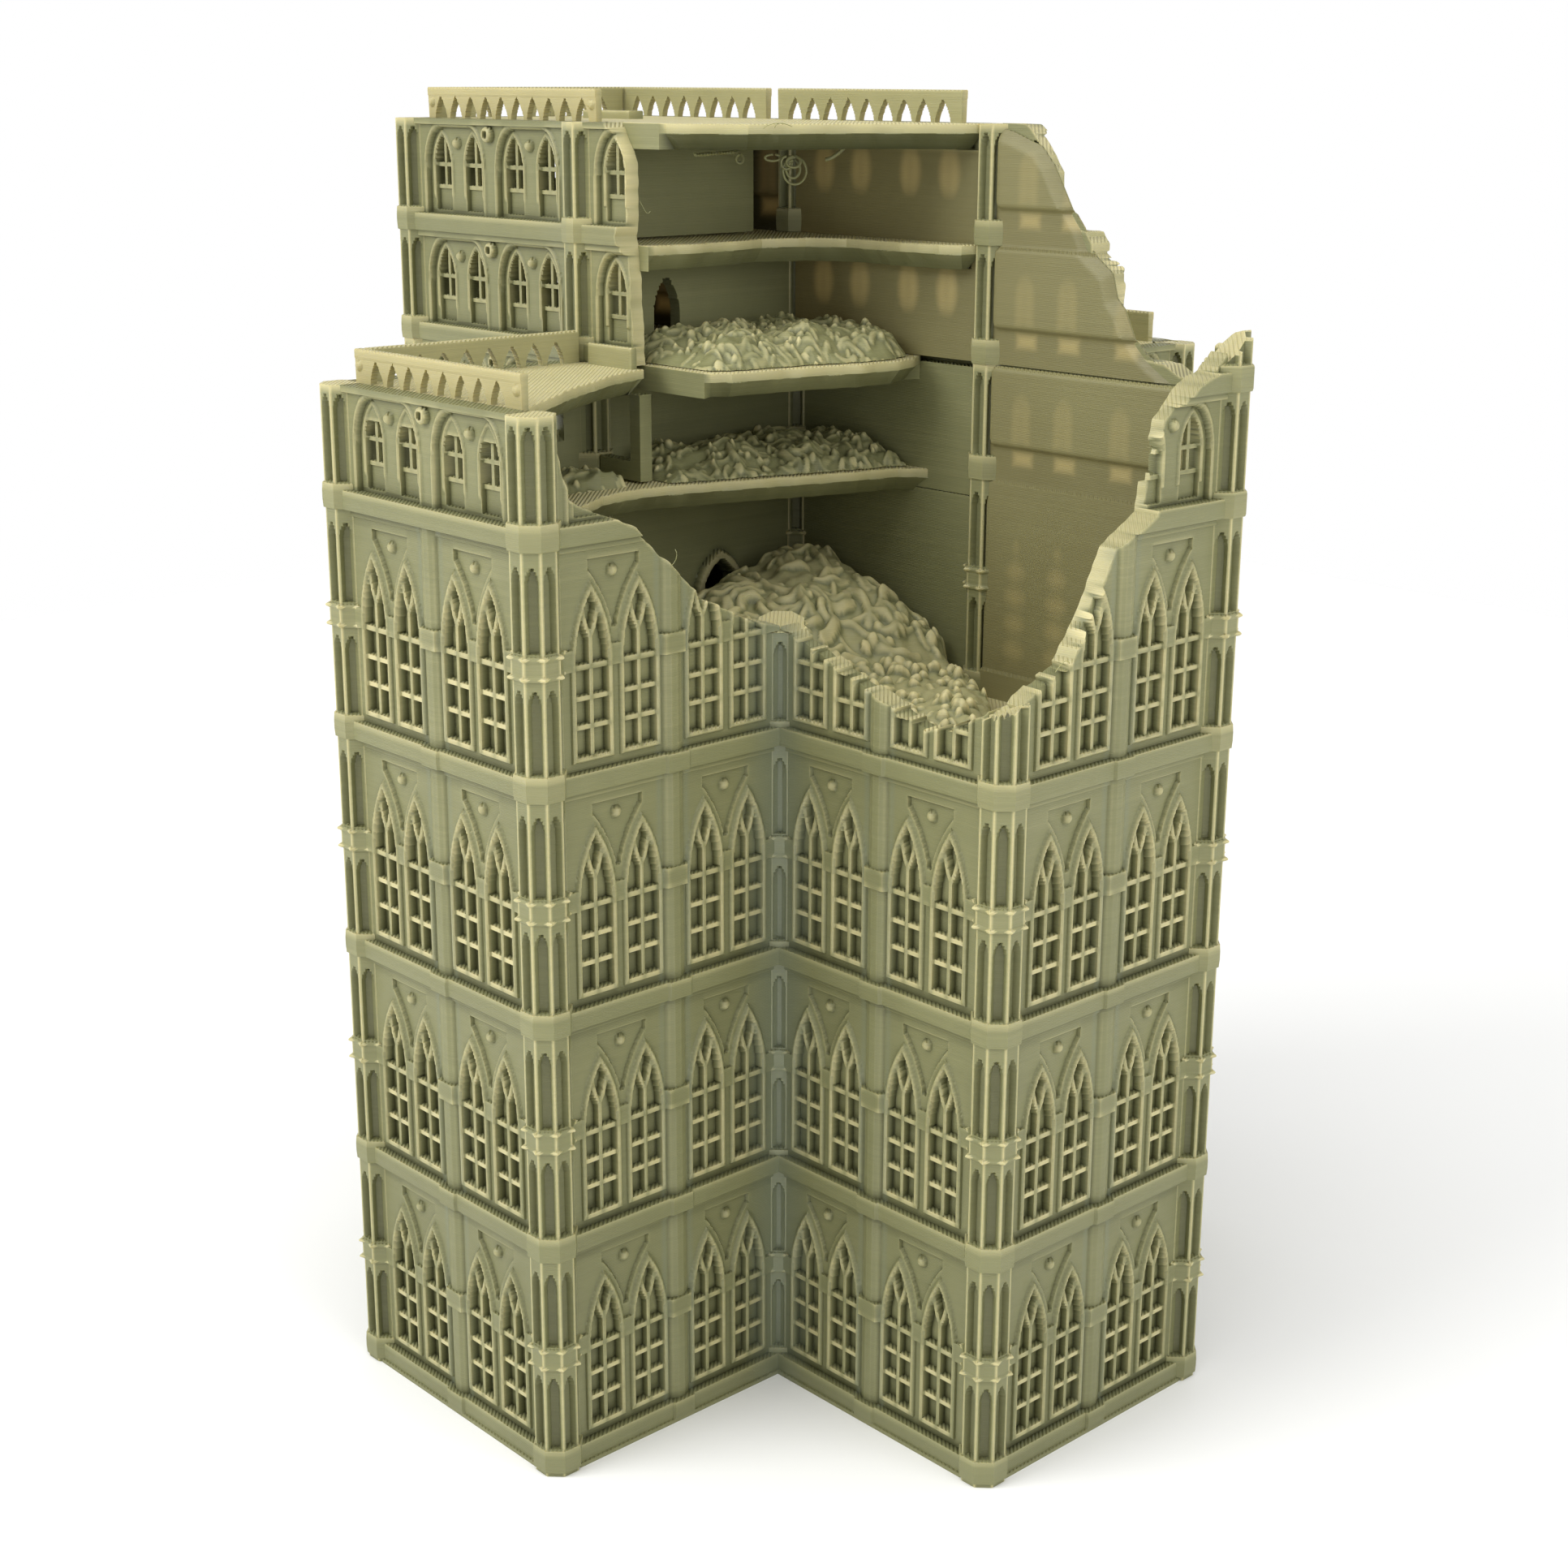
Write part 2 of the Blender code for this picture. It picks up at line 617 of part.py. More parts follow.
def tower_partition(material):
    """The partition between the tower and the crossing, one wall per storey."""
    west = WallFrame((-HALF_WING, 0), (-1, 0))
    door = lancet(5.7, 2.4, SPLIT + 1.4, SPLIT + 5.6, SPLIT + 8.9)
    inner_wall("lower_tower_partition", west, (-WALL_HALF, WALL_HALF), SPLIT + GAP,
               UPPER_FLOOR - PLATE - GAP, material, door)
    inner_wall("upper_tower_partition", west, (-8.8, WALL_HALF), UPPER_FLOOR + GAP,
               ROOF - PLATE - GAP, material)


def main():
    clear_scene()
    shell = make_material("printed_shell", (0.40, 0.37, 0.22), 0.55)
    trim = make_material("printed_trim", (0.46, 0.43, 0.27), 0.5)
    rubble = make_material("printed_rubble", (0.34, 0.33, 0.21), 0.7)
    lower_walls(shell)
    lower_pillars(trim)
    lower_floors(shell, rubble)
    lower_partitions(shell)
    lower_rails(trim)
    tower_walls(shell)
    tower_parts(shell, rubble, trim)
    tower_partition(shell)


main()
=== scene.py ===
import math

import bpy
import numpy as np
from mathutils import Matrix, Vector
from mathutils.bvhtree import BVHTree


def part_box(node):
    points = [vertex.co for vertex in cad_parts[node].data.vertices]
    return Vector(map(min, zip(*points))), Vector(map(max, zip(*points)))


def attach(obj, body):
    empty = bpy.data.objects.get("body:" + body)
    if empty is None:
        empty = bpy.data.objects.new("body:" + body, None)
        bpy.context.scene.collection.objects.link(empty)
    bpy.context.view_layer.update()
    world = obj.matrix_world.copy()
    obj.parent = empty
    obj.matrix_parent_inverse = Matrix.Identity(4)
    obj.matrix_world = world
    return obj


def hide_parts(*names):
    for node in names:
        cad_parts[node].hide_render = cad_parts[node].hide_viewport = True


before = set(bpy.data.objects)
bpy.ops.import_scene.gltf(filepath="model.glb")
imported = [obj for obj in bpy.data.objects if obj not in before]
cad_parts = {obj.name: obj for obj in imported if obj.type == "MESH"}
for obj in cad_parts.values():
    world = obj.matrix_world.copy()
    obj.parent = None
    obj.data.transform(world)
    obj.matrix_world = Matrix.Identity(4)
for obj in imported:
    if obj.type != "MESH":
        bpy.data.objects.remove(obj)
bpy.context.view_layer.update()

MM = 0.001


# ---------------------------------------------------------------- dimensions, in mm, from the frame

def box_mm(node):
    """A CAD node's lowest and highest corners, in mm."""
    low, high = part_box(node)
    return np.array(low) / MM, np.array(high) / MM


def middle(node):
    low, high = box_mm(node)
    return (low + high) / 2


HALF_WING = float(middle("northeast_crossing_pillar")[0])
ARM_END = float(middle("west_wing_left_pillar")[0]) * -1.0
SPLIT = float(box_mm("northeast_crossing_pillar")[1][2])
ROOF = float(box_mm("tower_hall_column")[1][2])
HALL = float(box_mm("hall_floor")[1][2])
GALLERY = float(box_mm("gallery_floor")[1][2])
UPPER = float(box_mm("tower_upper_floor")[1][2])
TALL = GALLERY - HALL
SHORT = SPLIT - GALLERY
FOOTING = HALL - 3 * TALL

# Wall section: offsets outward from the plan's grid line.
FACE = 1.1
INNER = -1.2
BAND = 1.0
WALL_REACH = 16.0

# Window layout, as in the frame's own walls.
TALL_BAY = 7.9
SHORT_BAY = 7.6
LIGHT_PITCH = 3.3

# Printing marks.
LAYER = 0.2
BEAD = 0.45
rng = np.random.default_rng(7)


# ---------------------------------------------------------------- materials

def math_node(tree, operation, a, b=None, clamp=False):
    made = tree.nodes.new("ShaderNodeMath")
    made.operation = operation
    made.use_clamp = clamp
    for socket, value in zip(made.inputs, (a, b)):
        if value is None:
            continue
        if hasattr(value, "links"):
            tree.links.new(value, socket)
        else:
            socket.default_value = value
    return made.outputs[0]


def mix_colour(tree, share, a, b):
    made = tree.nodes.new("ShaderNodeMix")
    made.data_type = "RGBA"
    for index, value in ((0, share), (6, a), (7, b)):
        socket = made.inputs[index]
        if hasattr(value, "links"):
            tree.links.new(value, socket)
        elif index == 0:
            socket.default_value = value
        else:
            socket.default_value = (*value, 1.0)
    return made.outputs[2]


def noise(tree, vector, scale, detail=2.0, roughness=0.5):
    made = tree.nodes.new("ShaderNodeTexNoise")
    made.inputs["Scale"].default_value = scale
    made.inputs["Detail"].default_value = detail
    made.inputs["Roughness"].default_value = roughness
    tree.links.new(vector, made.inputs["Vector"])
    return made.outputs["Fac"]


def stretched(tree, position, x, y, z):
    """Position scaled by axis, so that a noise on it becomes streaks."""
    made = tree.nodes.new("ShaderNodeMapping")
    made.inputs["Scale"].default_value = (x, y, z)
    tree.links.new(position, made.inputs["Vector"])
    return made.outputs["Vector"]


def attribute(tree, name):
    made = tree.nodes.new("ShaderNodeAttribute")
    made.attribute_name = name
    return made.outputs["Fac"]


def ramp(tree, share, stops):
    made = tree.nodes.new("ShaderNodeValToRGB")
    elements = made.color_ramp.elements
    while len(elements) < len(stops):
        elements.new(0.5)
    for element, (place, colour) in zip(elements, stops):
        element.position = place
        element.color = (*colour, 1.0)
    tree.links.new(share, made.inputs["Fac"])
    return made.outputs["Color"]


# The ramp runs from DEEP through MID to PALE: painted shade in recesses and painted highlights on
# ridges and edges, set by the relief attribute.
DEEP = (0.050, 0.053, 0.018)
MID = (0.232, 0.232, 0.108)
PALE = (0.660, 0.590, 0.310)
# Painted cool shade for sheltered corners and the nooks beside the pilasters.
COOL = (0.205, 0.232, 0.160)
# Painted light: amber for where light would come through the plastic from behind.
AMBER = (0.62, 0.50, 0.22)


# Painted shade: the walls darken below this height, in mm, by up to this much of the colour ramp.
FOOT_REACH = 85.0
FOOT_SHADE = 0.11


def printed_plastic(name, raster=False, lumpy=0.0, tint=1.0, soft=0.22):
    """Khaki filament plastic: relief tints that paint highlights and shade, layer lines, and raster
    lines on flat tops.

    lumpy is how rough a heap's surface is, tint scales its colours as a painted lightening for
    parts that catch more light, and soft is how much light goes through it.
    """
    material = bpy.data.materials.new(name)
    material.use_nodes = True
    tree = material.node_tree
    shader = tree.nodes["Principled BSDF"]
    position = tree.nodes.new("ShaderNodeNewGeometry").outputs["Position"]
    parts = tree.nodes.new("ShaderNodeSeparateXYZ")
    tree.links.new(position, parts.inputs[0])

    def sum_of(a, b):
        return math_node(tree, "ADD", a, b)

    def product(a, b, clamp=False):
        return math_node(tree, "MULTIPLY", a, b, clamp)

    streaks = noise(tree, stretched(tree, position, 25.0, 25.0, 2600.0), 1.0, 3.0, 0.6)
    broad = noise(tree, position, 70.0, 3.0, 0.55)
    fine = noise(tree, position, 1500.0, 2.0, 0.6)
    # The relief attribute is painted highlight (above 0) and painted shade (below 0).
    level = sum_of(attribute(tree, "relief"), 0.5)
    for pattern, strength in ((streaks, 0.12), (broad, 0.16)):
        level = sum_of(level, product(math_node(tree, "SUBTRACT", pattern, 0.5), strength))
    # Painted shade towards the foot of the walls.
    rise = math_node(tree, "DIVIDE", parts.outputs["Z"], FOOT_REACH * MM)
    foot = math_node(tree, "SUBTRACT", 1.0, rise, True)
    level = math_node(tree, "SUBTRACT", level, product(foot, FOOT_SHADE), True)
    stops = [(0.0, DEEP), (0.5, MID), (1.0, PALE)]
    stops = [(place, tuple(c * tint for c in colour)) for place, colour in stops]
    colour = ramp(tree, level, stops)
    # Painted cool shade wherever the cool attribute is set.
    cool = product(attribute(tree, "cool"), 0.75, True)
    colour = mix_colour(tree, cool, colour, tuple(c * tint for c in COOL))
    # Painted light: an amber glow and a faint emission wherever the glow attribute is set; no lamp is
    # there.
    glow = attribute(tree, "glow")
    colour = mix_colour(tree, product(glow, 0.8, True), colour, AMBER)
    tree.links.new(colour, shader.inputs["Base Color"])

    tree.links.new(product(glow, 0.06), shader.inputs["Emission Strength"])
    shader.inputs["Emission Color"].default_value = (1.0, 0.60, 0.16, 1.0)

    tree.links.new(sum_of(product(fine, 0.22), 0.36), shader.inputs["Roughness"])
    shader.inputs["Specular IOR Level"].default_value = 0.42
    shader.inputs["Subsurface Weight"].default_value = soft
    shader.inputs["Subsurface Radius"].default_value = (1.0, 0.82, 0.36)
    shader.inputs["Subsurface Scale"].default_value = 0.0004

    def waves(along, pitch, strength):
        turns = product(along, 2 * math.pi / pitch)
        return product(math_node(tree, "SINE", turns), strength)

    height = sum_of(waves(parts.outputs["Z"], LAYER * MM, 0.35), product(streaks, 1.2))
    height = sum_of(height, product(fine, 0.8))
    if raster:
        across = sum_of(parts.outputs["X"], parts.outputs["Y"])
        beads = waves(across, BEAD * MM * math.sqrt(2.0), 9.0)
        facing = tree.nodes.new("ShaderNodeNewGeometry").outputs["Normal"]
        up = tree.nodes.new("ShaderNodeSeparateXYZ")
        tree.links.new(facing, up.inputs[0])
        flat = math_node(tree, "GREATER_THAN", up.outputs["Z"], 0.6)
        height = sum_of(height, product(beads, flat))
    if lumpy:
        lumps = noise(tree, position, 900.0, 3.0, 0.55)
        height = sum_of(height, product(lumps, lumpy))
    bump = tree.nodes.new("ShaderNodeBump")
    bump.inputs["Strength"].default_value = 0.55
    bump.inputs["Distance"].default_value = 0.00003
    tree.links.new(height, bump.inputs["Height"])
    tree.links.new(bump.outputs["Normal"], shader.inputs["Normal"])
    return material


# All five are the same khaki plastic; a tint above 1 is painted light, making the ribs, decks, rubble
# and stray filament lighter copies.
WALL = printed_plastic("printed_wall", raster=True)
TRIM = printed_plastic("printed_ribs", raster=True, tint=1.04, soft=0.3)
DECK = printed_plastic("printed_deck", raster=True, tint=1.05)
RUBBLE = printed_plastic("printed_rubble", lumpy=3.0, tint=1.12)
STRING = printed_plastic("stray_filament", tint=1.25, soft=0.4)


# ---------------------------------------------------------------- mesh building

class Side:
    """A wall's own axes: along it, outward from it, and up. Lengths are in mm."""

    def __init__(self, centre, outward):
        self.centre = np.array([centre[0], centre[1], 0.0])
        self.outward = np.array([outward[0], outward[1], 0.0])
        self.along = np.array([-outward[1], outward[0], 0.0])

    def place(self, u, o, z):
        spot = self.centre + u[..., None] * self.along + o[..., None] * self.outward
        spot[..., 2] += z
        return spot


REENTRANT = [(sx * HALF_WING, sy * HALF_WING) for sx in (-1, 1) for sy in (-1, 1)]


def coolness(points):
    """How far a point lies in the sheltered outer corner between two wings, where cool shade is
    painted.
    """
    share = np.zeros(len(points))
    for x, y in REENTRANT:
        near = np.hypot(points[:, 0] - x, points[:, 1] - y)
        outside = np.minimum(np.sign(x) * (points[:, 0] - x), np.sign(y) * (points[:, 1] - y))
        share = np.maximum(share, np.clip(1.25 - near / 6.0, 0, 1) * (outside > 0.0))
    return share * np.where(points[:, 2] > SPLIT, 0.35, 1.0)


def make_mesh(name, points, faces, material, relief=None, glow=None, cool=0.0, smooth=35.0):
    """A mesh object from points in mm and faces given as arrays of equal-sided faces."""
    faces = [np.asarray(f, dtype=np.int64) for f in faces if len(f)]
    used = np.zeros(len(points), bool)
    for group in faces:
        used[group.ravel()] = True
    renumber = np.cumsum(used) - 1
    points = np.asarray(points, float)[used]
    cool = np.maximum(coolness(points), np.broadcast_to(cool, len(used))[used])
    loops = np.concatenate([renumber[group].ravel() for group in faces])
    sizes = np.concatenate([np.full(len(g), g.shape[1]) for g in faces])
    starts = np.concatenate([[0], np.cumsum(sizes)[:-1]])
    mesh = bpy.data.meshes.new(name)
    mesh.vertices.add(len(points))
    mesh.vertices.foreach_set("co", (points * MM).astype(np.float32).ravel())
    mesh.loops.add(len(loops))
    mesh.loops.foreach_set("vertex_index", loops.astype(np.int32))
    mesh.polygons.add(len(sizes))
    mesh.polygons.foreach_set("loop_start", starts.astype(np.int32))
    mesh.polygons.foreach_set("loop_total", sizes.astype(np.int32))
    mesh.update(calc_edges=True)
    # relief is painted highlight and shade, glow is painted light from behind, and cool is painted
    # cool shade.
    for key, values in (("relief", relief), ("glow", glow)):
        layer = mesh.attributes.new(key, "FLOAT", "POINT")
        if values is not None:
            layer.data.foreach_set("value", np.asarray(values)[used].astype(np.float32))
    layer = mesh.attributes.new("cool", "FLOAT", "POINT")
    layer.data.foreach_set("value", cool.astype(np.float32))
    mesh.materials.append(material)
    mesh.shade_smooth()
    mesh.set_sharp_from_angle(angle=math.radians(smooth))
    made = bpy.data.objects.new(name, mesh)
    bpy.context.scene.collection.objects.link(made)
    return made


def grid_lines(low, high, step, edges, dense=()):
    """Rising coordinates: a close pair at every edge, finer steps in the dense spans."""
    half = 0.045
    marks = {low, high}
    for edge in edges:
        for mark in (edge - half, edge + half):
            if low < mark < high:
                marks.add(mark)
    for start, end, _ in dense:
        marks.update(mark for mark in (start, end) if low < mark < high)
    marks = sorted(marks)
    kept = [marks[0]]
    for mark in marks[1:]:
        if mark - kept[-1] > 0.03:
            kept.append(mark)
    lines = [kept[0]]
    for a, b in zip(kept, kept[1:]):
        local = step
        for start, end, fine in dense:
            if start - 1e-6 <= (a + b) / 2 <= end + 1e-6:
                local = min(local, fine)
        count = max(1, int(math.ceil((b - a) / local - 1e-9)))
        lines.extend(a + (b - a) * (i + 1) / count for i in range(count))
    return np.array(lines)


def falling(distance, width):
    """1 at no distance or less, falling evenly to 0 at the width and beyond."""
    return np.clip(1 - distance / width, 0, 1)


def dome(share):
    """Height of a round boss, 1 at its middle and 0 from its rim outward."""
    return np.sqrt(1 - np.minimum(share, 1) ** 2)


def ridge(distance, half):
    """How far from a moulding's crest a point is: 0 on the crest, 1 at either side."""
    return np.clip(np.abs(distance - half) / half, 0, 1)


def grid_of(lines_u, lines_z):
    """Both coordinates of every grid point, and a mask that keeps every cell."""
    u, z = np.meshgrid(lines_u, lines_z, indexing="ij")
    return u, z, np.ones((len(lines_u) - 1, len(lines_z) - 1), bool)


def cell_middles(u, z):
    """Both coordinates of every grid cell's middle."""
    return (u[:-1, :-1] + u[1:, 1:]) / 2, (z[:-1, :-1] + z[1:, 1:]) / 2


def gradient(field, u, z, tiny=1e-3):
    """A field's value and its slopes along both axes."""
    here = field(u, z)
    return here, (field(u + tiny, z) - here) / tiny, (field(u, z + tiny) - here) / tiny


def snap(u, z, field, reach, zone):
    """Move the points of a zone that lie near a field's zero line onto that line."""
    here, slope_u, slope_z = gradient(field, u, z)
    steep = np.maximum(slope_u ** 2 + slope_z ** 2, 0.25)
    move = np.where((np.abs(here) < reach) & zone, here / steep, 0.0)
    return u - move * slope_u, z - move * slope_z


def shell_quads(shape, keep, backed):
    """Faces of a solid on one grid: a front, a back where backed, and the open edges.

    The back's points follow the front's, in the same order.
    """
    n, m = shape
    far = n * m
    ids = np.arange(far).reshape(n, m)
    a, b, c, d = ids[:-1, :-1], ids[1:, :-1], ids[1:, 1:], ids[:-1, 1:]
    quads = [np.stack([a, b, c, d], -1)[keep]]
    quads.append(np.stack([a, d, c, b], -1)[backed] + far)
    wide = np.zeros((n + 1, m + 1), bool)
    wide[1:-1, 1:-1] = keep
    for beside, p, q in ((wide[:-2, 1:-1], a, d), (wide[2:, 1:-1], c, b),
                         (wide[1:-1, :-2], b, a), (wide[1:-1, 2:], d, c)):
        quads.append(np.stack([p, q, q + far, p + far], -1)[keep & ~beside])
    return quads


def plain_strips(shape, keep, full):
    """The back of every row that isn't full: one face for each run of kept cells."""
    n, m = shape
    far = n * m
    ids = np.arange(far).reshape(n, m)
    whole = np.ones(m, bool)
    whole[1:-1] = (keep[:, 1:] != keep[:, :-1]).any(0) | full[1:] | full[:-1]
    strips = []
    for j in np.nonzero(~full)[0]:
        row = np.concatenate([[0], keep[:, j].astype(int), [0]])
        starts = np.nonzero(np.diff(row) == 1)[0]
        ends = np.nonzero(np.diff(row) == -1)[0]
        for i0, i1 in zip(starts, ends):
            low = ids[i0:i1 + 1, j] if whole[j] else ids[[i0, i1], j]
            high = ids[i0:i1 + 1, j + 1] if whole[j + 1] else ids[[i0, i1], j + 1]
            strips.append((np.concatenate([low[::-1], high]) + far)[None, :])
    return strips


# Painted shade: a solid's back is a little darker than its front.
REAR_TINT = -0.04


def grid_solid(name, side, u, z, front, back, keep, material, full=None, glow=None, rear=None,
               tint=None, cool=None, rear_tint=None):
    """A solid between two relief surfaces on one grid, with the dropped cells open.

    Where a row isn't marked full, its back is one plain strip for each run of cells.
    """
    rear_u, rear_z = (u, z) if rear is None else rear
    points = np.concatenate([side.place(u, front, z).reshape(-1, 3),
                             side.place(rear_u, back, rear_z).reshape(-1, 3)])
    full = np.ones(u.shape[1] - 1, bool) if full is None else full
    quads = shell_quads(u.shape, keep, keep & full[None, :])
    strips = plain_strips(u.shape, keep, full)
    # The front's relief is painted highlight and shade, unless a tint is given.
    relief = relief_tint(front) if tint is None else tint
    behind = np.full(u.size, REAR_TINT) if rear_tint is None else rear_tint.ravel()
    both = np.concatenate([relief.ravel(), behind])
    none = np.zeros(u.size)
    shine = np.concatenate([none if glow is None else glow.ravel(), none])
    shade = np.concatenate([none if cool is None else cool.ravel(), none])
    return make_mesh(name, points, quads + strips, material, both, shine, shade)


def relief_tint(front):
    """Painted highlights on ridges and painted shade in recesses, by height over the local mean."""
    smooth = front.copy()
    for axis in (0, 1):
        for _ in range(5):
            smooth = (smooth + np.roll(smooth, 1, axis) + np.roll(smooth, -1, axis)) / 3.0
    return np.clip((front - smooth) * 0.9, -0.36, 0.42)


# ---------------------------------------------------------------- wall relief

def sd_lancet(u, z, half, sill, spring, rise):
    """Signed distance to a pointed light: straight sides, then two arcs."""
    radius = (half ** 2 + rise ** 2) / (2 * half)
    arc = np.hypot(np.abs(u) + radius - half, z - spring) - radius
    return np.maximum(np.where(z > spring, arc, np.abs(u) - half), sill - z)


def sd_segment(u, z, start, end):
    """Distance to a straight segment."""
    run = np.array(end) - np.array(start)
    share = ((u - start[0]) * run[0] + (z - start[1]) * run[1]) / (run @ run)
    share = np.clip(share, 0, 1)
    return np.hypot(u - start[0] - share * run[0], z - start[1] - share * run[1])


# Reliefs in mm. Depths are in from the wall's face, and heights are over a storey's floor.
FRAME_WIDTH = 0.62
TALL_HALF, TALL_SILL, TALL_SPRING, TALL_RISE = 2.22, 3.87, 14.1, 7.7
BARS = ((6.8, 7.4), (10.0, 10.6), (13.4, 14.05))
MULLION = 0.28
SPLAY = ((0.0, 16.9), (0.5, 17.9), (0.95, 19.4), (1.1, 20.9))
SPANDREL_HALF, SPANDREL_FOOT, SPANDREL_TOP, SPANDREL_GAP = 3.5, 17.6, 25.3, 1.25
SPANDREL_DEPTH = 0.45
BLIND_DEPTH = 0.82
POST_HALF = 1.75
BOSS_HEIGHT, BOSS_RADIUS = 23.7, 0.68
SPRING_BAND = (13.45, 15.85)
SPLAY_HALF = 0.25
PILASTER = ((0.45, 1.25, 1.46), (0.62, 0.28, 0.0))
BAR_BACK = -0.35
BAND_TOP = 2.25
LINTEL = 0.75

# Further than any distance that matters, and the height that every break lies above.
FAR = 9.0
BREAK_FOOT = 80.0

# How far a step in the relief overlaps its edge, in mm, and in shares of a bar's half width.
LAP = 0.03
ON_BAR = 1.02


def off_light(u, bay):
    """How far along the wall a point is from the nearest light's middle, with a sign."""
    return np.abs(np.abs(u) - bay) - LIGHT_PITCH


def nearest_bar(z, bars, near):
    """The least of near and the distance to each level bar, where 1 is a bar's edge."""
    for low, high in bars:
        near = np.minimum(near, np.abs(z - (low + high) / 2) / ((high - low) / 2))
    return near


def tall_light(u, z):
    """Signed distance to a tall storey's pointed lights."""
    return sd_lancet(off_light(u, TALL_BAY), z, TALL_HALF, TALL_SILL, TALL_SPRING, TALL_RISE)


def splay(u, z):
    """Signed distance to the two arms into which a tall light's mullion parts."""
    w = np.abs(off_light(u, TALL_BAY))
    near = np.full_like(u, FAR)
    for start, end in zip(SPLAY, SPLAY[1:]):
        near = np.minimum(near, sd_segment(w, z, start, end))
    return near - SPLAY_HALF


def spandrel(u, z):
    """Signed distance to the sunk panel above and between a tall bay's two lights."""
    across = np.abs(np.abs(u) - TALL_BAY)
    field = np.maximum(across - SPANDREL_HALF, z - SPANDREL_TOP)
    field = np.maximum(field, SPANDREL_GAP - tall_light(u, z))
    return np.maximum(field, SPANDREL_FOOT - z)


def bands(out, u, z, sleeve):
    """The storey's string course, standing out by the sleeve round the mid pilaster."""
    edge = np.minimum(z, BAND_TOP - z)
    round_off = 0.14 * falling(edge, 0.16) ** 2
    proud = FACE + BAND - round_off + sleeve * np.clip((POST_HALF - np.abs(u)) / 0.2, 0, 1)
    return np.where((z >= -0.001) & (z <= BAND_TOP), np.maximum(out, proud), out)


def tall_relief(u, z):
    """Front offset of one tall storey, z above its floor."""
    out = np.full_like(u, FACE)
    out = np.where(z > TALL - LINTEL, FACE + 0.22, out)
    post = np.interp(np.abs(u), *PILASTER)
    light = tall_light(u, z)
    out = np.where(spandrel(u, z) < -LAP, FACE - SPANDREL_DEPTH, out)
    across = np.abs(np.abs(u) - TALL_BAY)
    boss = np.hypot(across, z - BOSS_HEIGHT) / BOSS_RADIUS
    out = np.where(boss < 1, np.maximum(out, FACE - SPANDREL_DEPTH + BOSS_RADIUS * dome(boss)), out)
    course = (z > SPRING_BAND[0]) & (z < SPRING_BAND[1]) & (light > 0.3)
    out = np.where(post > 0, np.maximum(out, FACE + post), out)
    sleeve = FACE + 0.34 + 0.52 * np.clip((POST_HALF - np.abs(u)) / 0.35, 0, 1)
    out = np.where(course, np.maximum(out, sleeve), out)
    out = bands(out, u, z, 0.32)
    moulding = FACE + 0.16 + 0.26 * (1 - ridge(light, FRAME_WIDTH / 2) ** 4)
    framed = (light > -LAP) & (light < FRAME_WIDTH + LAP)
    out = np.where(framed, np.maximum(out, moulding), out)
    inside = light <= -LAP
    out = np.where(inside, FACE - BLIND_DEPTH, out)
    mullion = np.abs(off_light(u, TALL_BAY)) / MULLION
    bar = nearest_bar(z, BARS, np.where(z < SPLAY[0][1] + 0.2, mullion, FAR))
    bar = np.minimum(bar, 1 + splay(u, z) / SPLAY_HALF)
    return np.where(inside & (bar < ON_BAR), FACE + 0.12 - 0.14 * np.clip(bar, 0, 1) ** 3, out)


# The short storey's bay: a flattened niche, two lights with bars, a boss and a ringed eye.
NICHE_HALF, NICHE_FLAT, NICHE_KNEE, NICHE_TOP = 6.15, 3.0, 8.0, 13.0
SHORT_HALF, SHORT_SILL, SHORT_SPRING, SHORT_RISE = 1.68, 2.7, 8.3, 3.7
SHORT_BARS = ((5.3, 5.85), (8.05, 8.6))
NICHE_DEPTH = 0.6
APRON_DEPTH, PANE_DEPTH, BAR_DEPTH = 1.15, 1.3, 0.92
SHORT_BOSS_HEIGHT = 11.0
EYE_HEIGHT = 12.2
EYE_RINGS = (0.42, 0.7, 0.95)
CORNICE = 0.72


def short_light(u, z):
    """Signed distance to a short storey's pointed lights."""
    return sd_lancet(off_light(u, SHORT_BAY), z, SHORT_HALF, SHORT_SILL, SHORT_SPRING, SHORT_RISE)


def niche(u, z):
    """The wide flattened arch that surrounds a short bay's two lights."""
    across = np.abs(np.abs(u) - SHORT_BAY)
    flat = np.maximum(across - NICHE_HALF, z - NICHE_TOP)
    reach_u, reach_z = NICHE_HALF - NICHE_FLAT, NICHE_TOP - NICHE_KNEE
    du = np.maximum(across - NICHE_FLAT, 0) / reach_u
    dz = np.maximum(z - NICHE_KNEE, 0) / reach_z
    curve = (np.hypot(du, dz) - 1) * (reach_u + reach_z) / 2
    return np.where((across > NICHE_FLAT) & (z > NICHE_KNEE), curve, flat)


def short_bar(u, z):
    """How far across the nearest glazing bar a point is: below 1 is on the bar."""
    mullion = np.abs(off_light(u, SHORT_BAY)) / MULLION
    return nearest_bar(z, SHORT_BARS, np.where(z > SHORT_BARS[0][0], mullion, FAR))


def short_hole(u, z):
    """True in the open panes of a short storey."""
    return (short_light(u, z) < 0) & (z > SHORT_BARS[0][1]) & (short_bar(u, z) > 1.0)


